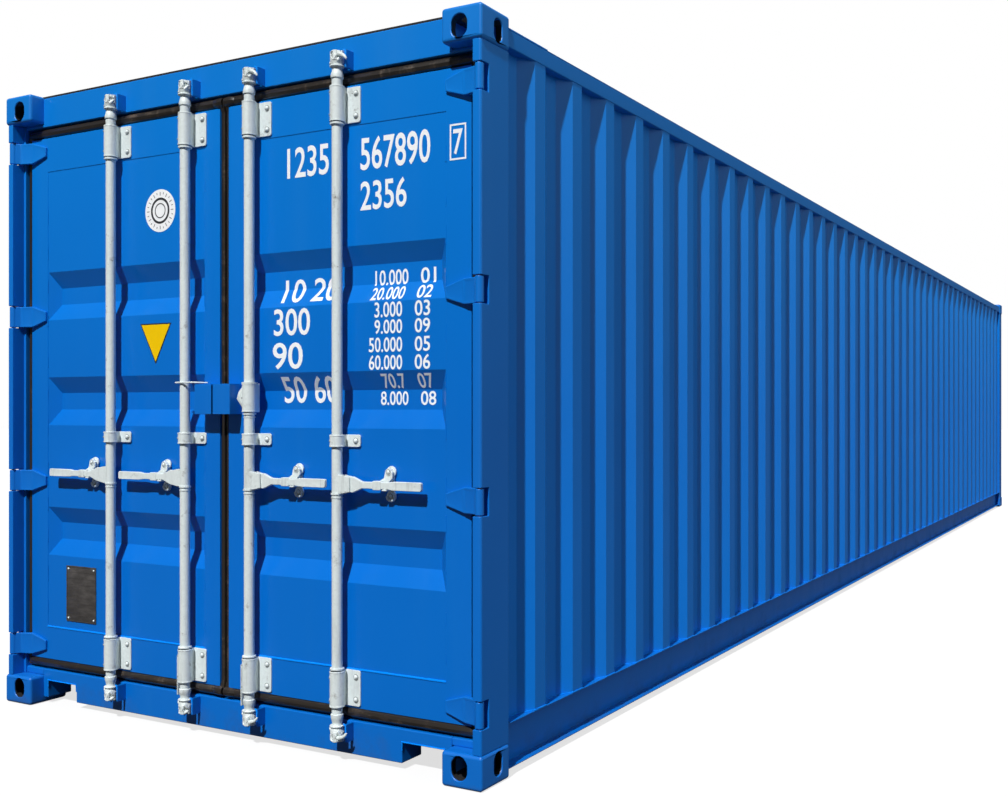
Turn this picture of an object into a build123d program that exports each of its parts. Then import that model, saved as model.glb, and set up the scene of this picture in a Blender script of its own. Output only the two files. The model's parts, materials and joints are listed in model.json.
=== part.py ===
from build123d import *
import os
from math import atan, tan

# A forty foot steel freight container, in millimetres.
# +X points out of the door end, +Y to the right of someone who faces the doors, +Z up.
# The origin is on the ground, under the middle of the container.
# Most door parts are placed by their depth behind the front face of the corner castings.

# Overall size
container_length = 12192
container_width = 2438
container_height = 2591

# Corner castings, with their oblong handling holes
casting_length = 178
casting_width = 162
casting_height = 118
casting_plate = 28
casting_inner_wall = 12
casting_edge_radius = 9
top_hole_length = 124.5
top_hole_width = 63.5
top_hole_from_end = 103.5
top_hole_from_side = 89.5
face_hole_height = 79.5
end_hole_width = 63.5
side_hole_width = 51

# Corner posts
post_recess = 6
post_wall = 6
door_channel_wall = 12
post_lip_width = 33
post_lip_depth = 54
post_edge_radius = 9
door_opening_width = 2340
front_post_width = 50

# Side rails
top_rail_size = 60
top_rail_wall = 3
top_rail_drop = 39
bottom_rail_height = 158
bottom_rail_width = 48
bottom_rail_wall = 4.5
bottom_rail_clearance = 27
rail_recess = 8

# Corrugated sheets
side_sheet = 1.6
side_rib_depth = 36
side_rib_crest = 72
side_rib_slope = 68
side_rib_valley = 70
side_sheet_recess = 10
roof_sheet = 2
roof_rib_depth = 20
roof_rib_crest = 91
roof_rib_slope = 13.5
roof_rib_valley = 91
roof_rib_from_side = 80
roof_rib_end_slope = 120
roof_rib_from_plate = 20
front_sheet = 2
front_rib_depth = 45.6
front_rib_crest = 110
front_rib_slope = 18
front_rib_valley = 104
front_sheet_recess = 12
end_margin = 60

# Header and sill at the door end, and the rails at the blind end
end_beam_recess = 64
end_beam_wall = 4.5
header_height = 124
header_drop = 8
sill_height = 120
sill_clearance = 25
sill_step_depth = 120
sill_step_height = 170
sill_fall = 2
sill_pocket_width = 180
sill_pocket_height = 75
sill_pocket_leg = 29
front_beam_recess = 8
front_beam_drop = 8

# Floor and underframe
floor_thickness = 28
cross_member_height = 122
cross_member_flange = 45
cross_member_wall = 4
cross_member_pitch = 305
tunnel_length = 3315
tunnel_width = 1029
tunnel_wall = 6
tunnel_roof = 4
roof_plate_length = 270
roof_plate_width = 455
roof_plate_thickness = 4

# Door leaves
door_recess = 66
door_depth = 50
door_edge_gap = 34
door_middle_gap = 23
door_sill_gap = 46
door_header_gap = 48
outer_stile = 104
inner_stile = 80
door_top_rail = 144
door_bottom_rail = 138
door_sheet = 2
door_sheet_recess = 2
pressing_heights = (737, 1289, 1736)
pressing_height = 204
pressing_floor_height = 70
pressing_depth = 36
pressing_end_slope = 42
seal_gap = 6
seal_middle_gap = 4
seal_front = 6
seal_depth = 28

# Hinges
hinge_count = 4
lowest_hinge_from_door_bottom = 58
highest_hinge_from_door_top = 59
hinge_height = 88
hinge_from_side = 22
hinge_from_front = 22
hinge_pin_radius = 8
hinge_pin_clearance = 0.3
knuckle_radius = 15
knuckle_clearance = 3
hinge_lug = 12
notch_depth = 49
blade_reach = 162
blade_thickness = 12
blade_nose_height = 40
blade_bend_from_edge = 24
blade_taper_from_edge = 20
blade_face_slope = 2
blade_neck_spread = 0.9
blade_neck_start = 0.4
blade_hollow_behind_pin = 14.5
blade_hollow_from_pin = 28

# Locking bars
outer_bar_from_middle = 590
inner_bar_from_middle = 168
bar_depth = 27
bar_radius = 19
bar_clearance = 0.5
bar_bottom = 79
bar_top_drop = 66
cam_height = 95
cam_reach = 26.5
cam_collar = 22.5
cam_neck = 17
cam_collar_end = 84
cam_neck_from_top = 62
cam_rim = (36, 28.5)
cam_rim_radius = 24.5
cam_claw_height = 34
cam_claw_width = 15
cam_claw_turns = (20, 95)

# Bar guides, bolted to the door leaves
guide_radius = 26
guide_web = 30
guide_plate_reach = 77
guide_plate_thickness = 6
end_guide_from_door_edge = 8
end_guide_height = 128
middle_guide = (1121, 1165)
clamp_guide = (1244, 1351)
clamp_plate_reach = 50
strip_offset = 34
strip_thickness = 4
strip_tab_overlap = 3
strip_tab_height = 12
strip_below_guide = 53
strip_length = 154

# Cam keepers, welded to the header and the sill
keeper_half_width = 44
keeper_ear = 8
keeper_plate = 4
keeper_depth = 40
keeper_short_depth = 20
keeper_height = 65
keeper_past_bar = 3

# Handles and the catches that hold them against the doors
handle_height = 990
handle_length = 370
handle_thickness = 14
handle_pivot = 46
handle_heel_radius = 15
handle_pin_radius = 6
handle_pin_clearance = 0.4
handle_root_height = 56
handle_arm_height = 24
handle_grip_height = 31
handle_root_start = (68, 76)
handle_root_end = 116
handle_grip_start = 250
handle_grip_taper = 24
handle_tip_chamfer = 4
hub_inner = 12
hub_plate = 30
hub_height = 66
cheek_end = 66
cheek_end_height = 52
cheek_thickness = 5.5
cheek_gap = 1.5
saddle_length = 34
saddle_height = 32
saddle_thickness = 22
catch_from_bar_left = 135
catch_from_bar_right = 215
catch_to_saddle = 32
catch_eye_radius = 20
catch_eye_up = 47
catch_eye_down = 38
catch_plate = 8
catch_boss_radius = 13
catch_boss_length = 6
catch_arm_thickness = 8
catch_arm_half_width = 16
catch_arm_tip = 46
catch_arm_bend = 21
catch_arm_upper = 25
catch_arm_tip_top = 12
catch_arm_tip_bottom = -10
catch_shelf_width = 20
catch_shelf_thickness = 6
catch_shelf_front = 18
catch_clearance = 0.5

# Lock box over the meeting edge of the doors, in one half on each door
lock_box_half_width = 92
lock_box_bottom = 1236
lock_box_height = 112
lock_box_front = 3
lock_box_wall = 4
lock_box_gap = 4

# Worked out from the sizes above
half_length = container_length / 2
half_width = container_width / 2
casting_back = half_length - casting_length
side_face = half_width - post_recess
rail_face = half_width - rail_recess
opening_half_width = door_opening_width / 2
rail_web = rail_face - bottom_rail_width
header_top = container_height - header_drop
header_bottom = header_top - header_height
sill_top = sill_clearance + sill_height
door_bottom = sill_top + door_sill_gap
door_top = header_bottom - door_header_gap
lowest_hinge = door_bottom + lowest_hinge_from_door_bottom
hinge_pitch = (door_top - highest_hinge_from_door_top - lowest_hinge) / (hinge_count - 1)
hinge_heights = [lowest_hinge + number * hinge_pitch for number in range(hinge_count)]
bar_top = container_height - bar_top_drop
top_guide_end = door_top - end_guide_from_door_edge
top_guide = (top_guide_end - end_guide_height, top_guide_end)
bottom_guide_end = door_bottom + end_guide_from_door_edge
bottom_guide = (bottom_guide_end, bottom_guide_end + end_guide_height)
strip_bottom = bottom_guide_end - strip_below_guide
strip_top = strip_bottom + strip_length
top_keeper = (bar_top + keeper_past_bar - keeper_height, bar_top + keeper_past_bar)
bottom_keeper = (bar_bottom - keeper_past_bar, bar_bottom - keeper_past_bar + keeper_height)
top_rail_top = container_height - top_rail_drop
top_rail_bottom = top_rail_top - top_rail_size
bottom_rail_top = bottom_rail_clearance + bottom_rail_height
floor_top = sill_step_height
floor_bottom = floor_top - floor_thickness
underframe_bottom = floor_bottom - cross_member_height
front_beam_top = container_height - front_beam_drop
front_post_inner = side_face - front_post_width
door_edge = opening_half_width - door_edge_gap
panel_inner = door_middle_gap + inner_stile
panel_outer = door_edge - outer_stile
panel_bottom = door_bottom + door_bottom_rail
panel_top = door_top - door_top_rail
hinge_y = half_width - hinge_from_side
bar_to_door = door_recess - bar_depth
handle_half = handle_thickness / 2


def span_box(x_span, y_span, z_span):
    """A block between two limits on each axis."""
    low, high = zip(*(sorted(span) for span in (x_span, y_span, z_span)))
    size = [far - near for near, far in zip(low, high)]
    middle = [(far + near) / 2 for near, far in zip(low, high)]
    return Pos(*middle) * Box(*size)


def door_end(depth):
    """X of a plane at a depth behind the castings' front face, at the door end."""
    return half_length - depth


def blind_end(depth):
    """X of a plane at a depth behind the castings' face, at the blind end."""
    return depth - half_length


def plan_prism(outline, low, high):
    """A flat outline in plan, raised from one height to another."""
    return extrude(Pos(0, 0, low) * outline, high - low, dir=(0, 0, 1))


def plan_outline(points):
    """A closed outline from (depth, y) points at the door end."""
    return make_face(Polyline(*[(door_end(depth), y) for depth, y in points], close=True))


def beam_prism(points, low, high, end=door_end):
    """A closed outline of (depth, height) points, drawn out along Y."""
    plane = Plane(origin=(0, low, 0), x_dir=(1, 0, 0), z_dir=(0, -1, 0))
    outline = plane * make_face(Polyline(*[(end(depth), z) for depth, z in points], close=True))
    return extrude(outline, high - low, dir=(0, 1, 0))


def rail_prism(points, low, high):
    """A closed outline of (y, height) points, drawn out along X."""
    plane = Plane(origin=(low, 0, 0), x_dir=(0, 1, 0), z_dir=(1, 0, 0))
    outline = plane * make_face(Polyline(*points, close=True))
    return extrude(outline, high - low, dir=(1, 0, 0))


def face_prism(outline, front, back):
    """An outline in (y, height), drawn through between two depths at the door end."""
    plane = Plane(origin=(door_end(back), 0, 0), x_dir=(0, 1, 0), z_dir=(1, 0, 0))
    return extrude(plane * outline, back - front, dir=(1, 0, 0))


def left_of(solid):
    """The same solid on the left side."""
    return mirror(solid, about=Plane.XZ)


def both_sides(solid):
    return [solid, left_of(solid)]


def corrugated(length, depth, crest, slope, valley, sheet, margin):
    """Outline of a corrugated sheet centred on u = 0, with its crests at v = 0."""
    pitch = crest + slope + valley + slope
    count = int((length - 2 * margin + valley) // pitch)
    start = -(count * pitch - valley) / 2
    mitre = sheet * tan(atan(depth / slope) / 2)
    outer = [(-length / 2, -depth)]
    inner = [(-length / 2, -depth - sheet)]
    for rib in range(count):
        foot = start + rib * pitch
        rise = [(foot, -depth), (foot + slope, 0)]
        fall = [(foot + slope + crest, 0), (foot + 2 * slope + crest, -depth)]
        outer += rise + fall
        inner += [(u + mitre, v - sheet) for u, v in rise]
        inner += [(u - mitre, v - sheet) for u, v in fall]
    outer.append((length / 2, -depth))
    inner.append((length / 2, -depth - sheet))
    return outer + inner[::-1]


def corner_casting():
    """The hollow casting at the bottom, door end, right side."""
    outer_y = (half_width - casting_width, half_width)
    body = span_box((casting_back, half_length), outer_y, (0, casting_height))
    corner = body.edges().filter_by(Axis.Z).sort_by(Axis.X)[-2:].sort_by(Axis.Y)[-1]
    body = fillet(corner, casting_edge_radius)
    body -= span_box(
        (casting_back + casting_inner_wall, half_length - casting_plate),
        (half_width - casting_width + casting_inner_wall, half_width - casting_plate),
        (casting_plate, casting_height - casting_inner_wall))
    middle_height = (casting_plate + casting_height - casting_inner_wall) / 2
    hole_x = door_end(top_hole_from_end)
    hole_y = half_width - top_hole_from_side
    ground_hole = Pos(hole_x, hole_y) * SlotOverall(top_hole_length, top_hole_width)
    body -= plan_prism(ground_hole, -casting_plate, middle_height)
    end_hole = Pos(hole_y, middle_height) * Rot(0, 0, 90) * SlotOverall(face_hole_height, end_hole_width)
    body -= face_prism(end_hole, -casting_plate, top_hole_from_end)
    side_plane = Plane(origin=(hole_x, hole_y, middle_height), x_dir=(0, 0, 1), z_dir=(0, 1, 0))
    side_hole = side_plane * SlotOverall(face_hole_height, side_hole_width)
    body -= extrude(side_hole, casting_width, dir=(0, 1, 0))
    return body


def four_corners(casting):
    ends = [casting, mirror(casting, about=Plane.YZ)]
    return ends + [left_of(one) for one in ends]


def upside_down(casting):
    middle = Plane(origin=(0, 0, container_height / 2), z_dir=(0, 0, 1))
    return mirror(casting, about=middle)


def notch_half_height():
    return hinge_height / 2 + knuckle_clearance


def door_post():
    """Right post: a closed section with a lip that carries the hinge lugs and is notched for the knuckles."""
    low = casting_height
    high = container_height - casting_height
    lip_inner = side_face - post_lip_width
    lip_back = post_recess + post_lip_depth
    outside = plan_outline([
        (post_recess, side_face), (casting_length, side_face), (casting_length, opening_half_width),
        (lip_back, opening_half_width), (lip_back, lip_inner), (post_recess, lip_inner)])
    inside = plan_outline([
        (post_recess + post_wall, side_face - post_wall),
        (casting_length - post_wall, side_face - post_wall),
        (casting_length - post_wall, opening_half_width + door_channel_wall),
        (lip_back + door_channel_wall, opening_half_width + door_channel_wall),
        (lip_back + door_channel_wall, lip_inner + post_wall),
        (post_recess + post_wall, lip_inner + post_wall)])
    shell = plan_prism(outside, low, high)
    corner = shell.edges().filter_by(Axis.Z).sort_by(Axis.X)[-2:].sort_by(Axis.Y)[-1]
    shell = fillet(corner, post_edge_radius) - plan_prism(inside, low, high)
    notch = notch_half_height()
    notch_back = post_recess + notch_depth
    for height in hinge_heights:
        shell += span_box(
            (door_end(post_recess + post_wall), door_end(notch_back + post_wall)),
            (lip_inner + post_wall / 2, side_face - post_wall / 2),
            (height - notch - hinge_lug, height + notch + hinge_lug))
    for height in hinge_heights:
        shell -= span_box(
            (half_length, door_end(notch_back)),
            (opening_half_width, half_width),
            (height - notch, height + notch))
        pin_hole = Cylinder(hinge_pin_radius + hinge_pin_clearance, 2 * (notch + hinge_lug))
        shell -= Pos(door_end(hinge_from_front), hinge_y, height) * pin_hole
    return shell


def hinge_pin_set():
    """Eight pins, each held in the two lugs of its notch."""
    length = 2 * (notch_half_height() + hinge_lug)
    pins = []
    for height in hinge_heights:
        place = Pos(door_end(hinge_from_front), hinge_y, height)
        pins += both_sides(place * Cylinder(hinge_pin_radius, length))
    return pins


def hinge_blade(height):
    """Forged blade: a knuckle on the pin, a neck through the notch and a nose on the door's edge.

    The neck is hollowed in front, so that it clears the notch when the door lies back beside the wall.
    """
    knuckle_x = door_end(hinge_from_front)
    knuckle = Pos(knuckle_x, hinge_y) * Circle(knuckle_radius)
    nose_y = hinge_y - blade_reach
    front = door_recess - blade_thickness
    spread = blade_neck_spread * knuckle_radius
    neck_y = hinge_y - blade_neck_start * knuckle_radius
    neck = plan_outline([
        (door_recess, nose_y), (front + blade_face_slope, nose_y),
        (front - blade_face_slope, door_edge - blade_bend_from_edge),
        (hinge_from_front + blade_hollow_behind_pin, hinge_y - blade_hollow_from_pin),
        (hinge_from_front - spread, neck_y), (hinge_from_front + spread, neck_y),
        (door_recess, door_edge)])
    plan = plan_prism(neck + knuckle, height - hinge_height / 2, height + hinge_height / 2)
    half = hinge_height / 2
    nose = blade_nose_height / 2
    taper_y = door_edge - blade_taper_from_edge
    side_view = make_face(Polyline(
        (hinge_y + knuckle_radius + 1, height - half), (hinge_y + knuckle_radius + 1, height + half),
        (taper_y, height + half), (nose_y, height + nose),
        (nose_y, height - nose), (taper_y, height - half), close=True))
    blade = plan & face_prism(side_view, 0, casting_length)
    bore = Cylinder(hinge_pin_radius + hinge_pin_clearance, 2 * hinge_height)
    return blade - Pos(knuckle_x, hinge_y, height) * bore


def front_post():
    """Right post at the blind end, a closed rectangular section."""
    x_span = (blind_end(post_recess), blind_end(casting_length))
    y_span = (front_post_inner, side_face)
    z_span = (casting_height, container_height - casting_height)
    hollow_x = (x_span[0] + post_wall, x_span[1] - post_wall)
    hollow_y = (y_span[0] + post_wall, y_span[1] - post_wall)
    return span_box(x_span, y_span, z_span) - span_box(hollow_x, hollow_y, z_span)


def box_beam(front, back, low, high, half_span, end):
    """A closed rectangular beam between the castings."""
    outside = [(front, low), (back, low), (back, high), (front, high)]
    wall = end_beam_wall
    inside = [
        (front + wall, low + wall), (back - wall, low + wall),
        (back - wall, high - wall), (front + wall, high - wall)]
    return beam_prism(outside, -half_span, half_span, end) - beam_prism(inside, -half_span, half_span, end)


def door_header():
    half_span = half_width - casting_width
    front, back = end_beam_recess, casting_length
    header = box_beam(front, back, header_bottom, header_top, half_span, door_end)
    for side in (-1, 1):
        header += span_box(
            (door_end(front), door_end(back)),
            (side * (half_span - end_beam_wall), side * opening_half_width),
            (header_bottom, container_height - casting_height))
    return header


def door_sill():
    """Sill with a step behind the doors and an open pocket beside each casting."""
    half_span = half_width - casting_width
    wall = end_beam_wall
    front, back = end_beam_recess, casting_length
    outside = [
        (front, sill_clearance), (back, sill_clearance), (back, sill_step_height),
        (sill_step_depth, sill_step_height), (sill_step_depth, sill_top + sill_fall), (front, sill_top)]
    inside = [
        (front + wall, sill_clearance + wall), (back - wall, sill_clearance + wall),
        (back - wall, sill_step_height - wall), (sill_step_depth + wall, sill_step_height - wall),
        (sill_step_depth + wall, sill_top + sill_fall - wall), (front + wall, sill_top - wall)]
    sill = beam_prism(outside, -half_span, half_span) - beam_prism(inside, -half_span, half_span)
    for side in (-1, 1):
        pocket_outer = side * (half_span - sill_pocket_leg)
        pocket_inner = pocket_outer - side * sill_pocket_width
        pocket_top = sill_clearance + sill_pocket_height
        liner = span_box(
            (door_end(front), door_end(back)),
            (pocket_outer + side * wall, pocket_inner - side * wall),
            (sill_clearance, pocket_top + wall))
        pocket = span_box(
            (half_length, door_end(back + wall)), (pocket_outer, pocket_inner), (0, pocket_top))
        sill = sill + liner - pocket
    return sill


def sill_end():
    """Right end of the sill, a block over the casting's top, between the sill and the post."""
    front, back = end_beam_recess, casting_length
    outline = [
        (front, casting_height), (back, casting_height), (back, sill_step_height),
        (sill_step_depth, sill_step_height), (sill_step_depth, sill_top + sill_fall), (front, sill_top)]
    return beam_prism(outline, half_width - casting_width, opening_half_width)


def front_top_rail():
    half_span = half_width - casting_width
    low = container_height - casting_height - casting_inner_wall
    rail = box_beam(front_beam_recess, casting_length, low, front_beam_top, half_span, blind_end)
    for side in (-1, 1):
        rail += span_box(
            (blind_end(front_beam_recess), blind_end(casting_length)),
            (side * (half_span - end_beam_wall), side * front_post_inner),
            (low, container_height - casting_height))
    return rail


def front_bottom_rail():
    """Beam under the blind end, raised over the mouth of the gooseneck tunnel."""
    half_span = half_width - casting_width
    wall = end_beam_wall
    x_span = (blind_end(front_beam_recess), blind_end(casting_length))
    rail = box_beam(front_beam_recess, casting_length, sill_clearance, floor_bottom, half_span, blind_end)
    for side in (-1, 1):
        rail += span_box(
            x_span, (side * (half_span - wall), side * front_post_inner), (casting_height, floor_bottom))
    mouth = tunnel_width / 2
    mouth_top = floor_bottom - tunnel_roof
    rail += span_box(x_span, (-mouth - wall, mouth + wall), (sill_clearance, floor_bottom))
    return rail - span_box((x_span[0] - 1, x_span[1] + 1), (-mouth, mouth), (0, mouth_top - wall))


def top_side_rail():
    low, high = top_rail_bottom, top_rail_top
    near, far = rail_face - top_rail_size, rail_face
    wall = top_rail_wall
    outside = [(near, low), (far, low), (far, high), (near, high)]
    inside = [
        (near + wall, low + wall), (far - wall, low + wall),
        (far - wall, high - wall), (near + wall, high - wall)]
    return rail_prism(outside, -casting_back, casting_back) - rail_prism(inside, -casting_back, casting_back)


def bottom_side_rail():
    """Channel that opens outwards, so that the wall stands on its top flange."""
    low, high = bottom_rail_clearance, bottom_rail_top
    wall = bottom_rail_wall
    channel = [
        (rail_web, low), (rail_face, low), (rail_face, low + wall), (rail_web + wall, low + wall),
        (rail_web + wall, high - wall), (rail_face, high - wall), (rail_face, high), (rail_web, high)]
    return rail_prism(channel, -casting_back, casting_back)


def side_wall():
    """Right wall with upright ribs, from one post to the other."""
    crest_y = half_width - side_sheet_recess
    profile = corrugated(
        2 * casting_back, side_rib_depth, side_rib_crest, side_rib_slope, side_rib_valley,
        side_sheet, end_margin)
    outline = make_face(Polyline(*[(u, crest_y + v) for u, v in profile], close=True))
    return plan_prism(outline, bottom_rail_top, top_rail_bottom)


def front_wall():
    """Blind end wall with upright ribs."""
    crest_x = blind_end(front_sheet_recess)
    profile = corrugated(
        2 * front_post_inner, front_rib_depth, front_rib_crest, front_rib_slope, front_rib_valley,
        front_sheet, end_margin)
    outline = make_face(Polyline(*[(crest_x - v, u) for u, v in profile], close=True))
    top = container_height - casting_height - casting_inner_wall
    return plan_prism(outline, floor_bottom, top)


def roof_block(line, flat_z, spare):
    """All that lies under one face of the roof sheet, whose ribs slope off at both ends."""
    low = top_rail_bottom
    rib_end = rail_face - roof_rib_from_side
    crest_end = rib_end - roof_rib_end_slope
    crest_z = flat_z + roof_rib_depth
    ribs = beam_prism(
        [(-casting_back, low), *line, (casting_back, low)], -rib_end, rib_end, end=lambda along: along)
    slopes = [
        (-rib_end, low), (rib_end, low), (rib_end, flat_z), (crest_end, crest_z),
        (-crest_end, crest_z), (-rib_end, flat_z)]
    length, width = casting_back + spare, rail_face + spare
    under_flat = span_box((-length, length), (-width, width), (low - spare, flat_z))
    return under_flat + (ribs & rail_prism(slopes, -casting_back, casting_back))


def roof_panel():
    """Roof sheet with ribs across it that slope down to a flat edge on the side rails."""
    crest_z = top_rail_top + roof_sheet + roof_rib_depth
    profile = corrugated(
        2 * casting_back, roof_rib_depth, roof_rib_crest, roof_rib_slope, roof_rib_valley,
        roof_sheet, roof_plate_length + roof_rib_from_plate)
    half = len(profile) // 2
    upper, lower = [sorted((u, crest_z + v) for u, v in line) for line in (profile[:half], profile[half:])]
    return roof_block(upper, top_rail_top + roof_sheet, 0) - roof_block(lower, top_rail_top, 1)


def roof_corner_plate():
    """Right plate at the door end that guards the roof where lifting gear lands."""
    low = top_rail_top + roof_sheet
    return span_box(
        (casting_back - roof_plate_length, casting_back),
        (rail_face - roof_plate_width, rail_face),
        (low, low + roof_plate_thickness))


def floor_deck():
    front = blind_end(front_sheet_recess + front_rib_depth + front_sheet)
    return span_box((front, casting_back), (-rail_web, rail_web), (floor_bottom, floor_top))


def channel_across(x, y_low, y_high):
    """One cross member: a channel on its web, with its flanges towards the door end."""
    low, high = underframe_bottom, floor_bottom
    wall, flange = cross_member_wall, cross_member_flange
    points = [
        (x, low), (x + flange, low), (x + flange, low + wall), (x + wall, low + wall),
        (x + wall, high - wall), (x + flange, high - wall), (x + flange, high), (x, high)]
    return beam_prism(points, y_low, y_high, end=lambda along: along)


def cross_member_set():
    """Channels under the floor, in short lengths on both sides of the tunnel."""
    first = blind_end(casting_length) + cross_member_pitch / 2
    last = casting_back - cross_member_pitch / 2
    count = int((last - first) // cross_member_pitch)
    pitch = (last - first) / count
    tunnel_end = blind_end(casting_length) + tunnel_length
    tunnel_side = tunnel_width / 2 + tunnel_wall
    members = []
    for index in range(count + 1):
        x = first + index * pitch
        if x > tunnel_end + tunnel_wall:
            members.append(channel_across(x, -rail_web, rail_web))
        elif x + cross_member_flange < tunnel_end:
            members += both_sides(channel_across(x, tunnel_side, rail_web))
    return members


def gooseneck_tunnel():
    """Lined recess under the blind end, for the raised neck of a trailer."""
    x_span = (blind_end(casting_length), blind_end(casting_length) + tunnel_length)
    half = tunnel_width / 2
    shell = span_box(x_span, (-half - tunnel_wall, half + tunnel_wall), (underframe_bottom, floor_bottom))
    hollow_x = (x_span[0] - 1, x_span[1] - tunnel_wall)
    return shell - span_box(hollow_x, (-half, half), (0, floor_bottom - tunnel_roof))


def rectangle_between(y_span, z_span):
    width = y_span[1] - y_span[0]
    height = z_span[1] - z_span[0]
    middle = Pos((y_span[0] + y_span[1]) / 2, (z_span[0] + z_span[1]) / 2)
    return middle * Rectangle(width, height)


def door_frame():
    """Right leaf's stiles and rails."""
    leaf = rectangle_between((door_middle_gap, door_edge), (door_bottom, door_top))
    hole = rectangle_between((panel_inner, panel_outer), (panel_bottom, panel_top))
    return face_prism(leaf - hole, door_recess, door_recess + door_depth)


def pressing(height, front, grow):
    """The solid between a pressing's mouth and its floor, grown by the sheet for the back of it."""
    mouth_y = (panel_inner + door_sheet - grow, panel_outer - door_sheet + grow)
    mouth_z = (height - pressing_height / 2 - grow, height + pressing_height / 2 + grow)
    floor_y = (panel_inner + pressing_end_slope - grow, panel_outer - pressing_end_slope + grow)
    floor_z = (height - pressing_floor_height / 2 - grow, height + pressing_floor_height / 2 + grow)
    sections = []
    for depth, y_span, z_span in ((front, mouth_y, mouth_z), (front + pressing_depth, floor_y, floor_z)):
        plane = Plane(origin=(door_end(depth), 0, 0), x_dir=(0, 1, 0), z_dir=(1, 0, 0))
        sections.append(plane * rectangle_between(y_span, z_span))
    return loft(sections, ruled=True)


def door_panel():
    """Right leaf's sheet, with its pressings sunk into it."""
    front = door_recess + door_sheet_recess
    sheet = rectangle_between((panel_inner, panel_outer), (panel_bottom, panel_top))
    panel = face_prism(sheet, front, front + door_sheet)
    for height in pressing_heights:
        panel += pressing(height, front + door_sheet, door_sheet)
    for height in pressing_heights:
        panel -= pressing(height, front, 0)
    return panel


def door_seal():
    """Right leaf's rubber seal, a ring round its edges."""
    outer = rectangle_between(
        (seal_middle_gap, opening_half_width - seal_gap),
        (sill_top + sill_fall + seal_gap, header_bottom - seal_gap))
    leaf = rectangle_between((door_middle_gap, door_edge), (door_bottom, door_top))
    front = door_recess + seal_front
    return face_prism(outer - leaf, front, front + seal_depth)


def guide_outline(plate_side, plate_reach):
    """Plan of a bar guide about the bar's axis: a sleeve, its web and a bolted plate."""
    plate_back = -bar_to_door
    web = Pos(plate_back / 2, 0) * Rectangle(bar_to_door, guide_web)
    plate_x = plate_back + guide_plate_thickness / 2
    plate = Pos(plate_x, plate_side * plate_reach / 2) * Rectangle(guide_plate_thickness, plate_reach)
    return Circle(guide_radius) + web + plate - Circle(bar_radius + bar_clearance)


def bar_guide(bar_y, heights, plate_side=1, plate_reach=guide_plate_reach):
    outline = Pos(door_end(bar_depth), bar_y) * guide_outline(plate_side, plate_reach)
    return plan_prism(outline, *heights)


def guide_with_strip(bar_y):
    """Bottom guide of an inner bar, with the flat strip that hangs down beside its sleeve."""
    x_span = (door_end(bar_depth) - guide_plate_thickness, door_end(bar_depth) + guide_plate_thickness)
    strip_y = (bar_y - strip_offset - strip_thickness, bar_y - strip_offset)
    strip = span_box(x_span, strip_y, (strip_bottom, strip_top))
    tab_y = (bar_y - strip_offset - strip_thickness / 2, bar_y - bar_radius - strip_tab_overlap)
    tab = span_box(x_span, tab_y, (strip_top - strip_tab_height, strip_top))
    return bar_guide(bar_y, bottom_guide) + strip + tab


def guide_set(inner_y, outer_y):
    guides = [bar_guide(outer_y, bottom_guide), guide_with_strip(inner_y)]
    for bar_y in (outer_y, inner_y):
        guides += [bar_guide(bar_y, middle_guide), bar_guide(bar_y, top_guide)]
    return guides


def cam_keeper(bar_y, heights):
    """Open bracket round a cam: a back plate, a long ear and a short one."""
    back = bar_depth - end_beam_recess
    width = 2 * keeper_half_width
    ear_y = keeper_half_width - keeper_ear / 2
    plate = Pos(back + keeper_plate / 2, 0) * Rectangle(keeper_plate, width)
    long_ear = Pos(back + keeper_depth / 2, ear_y) * Rectangle(keeper_depth, keeper_ear)
    short_ear = Pos(back + keeper_short_depth / 2, -ear_y) * Rectangle(keeper_short_depth, keeper_ear)
    outline = Pos(door_end(bar_depth), bar_y) * (plate + long_ear + short_ear)
    return plan_prism(outline, *heights)


def keeper_set():
    keepers = []
    for bar_y in (-outer_bar_from_middle, -inner_bar_from_middle, inner_bar_from_middle, outer_bar_from_middle):
        keepers += [cam_keeper(bar_y, top_keeper), cam_keeper(bar_y, bottom_keeper)]
    return keepers


def bar_profile():
    """Half section of a bar: a rod whose ends step through a collar and a flare to the cam."""
    end = bar_top - (bar_top + bar_bottom) / 2
    upper = [
        (bar_radius, end - cam_height),
        (cam_collar, end - cam_height), (cam_collar, end - cam_collar_end),
        (cam_neck, end - cam_neck_from_top), (cam_rim_radius, end - cam_rim[0]),
        (cam_rim_radius, end - cam_rim[1]), (bar_radius, end - cam_rim[1]), (bar_radius, end)]
    lower = [(radius, -height) for radius, height in upper[::-1]]
    return [(0, -end)] + lower + upper + [(0, end)]


def cam_claws(low, high):
    """Claws across the end of a bar, and the cap that joins them."""
    arm = Rectangle(3 * cam_reach, cam_claw_width)
    star = Circle(bar_radius)
    for turn in cam_claw_turns:
        star += (Rot(0, 0, turn) * arm) & Circle(cam_reach)
    return plan_prism(star, low, high)


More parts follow.
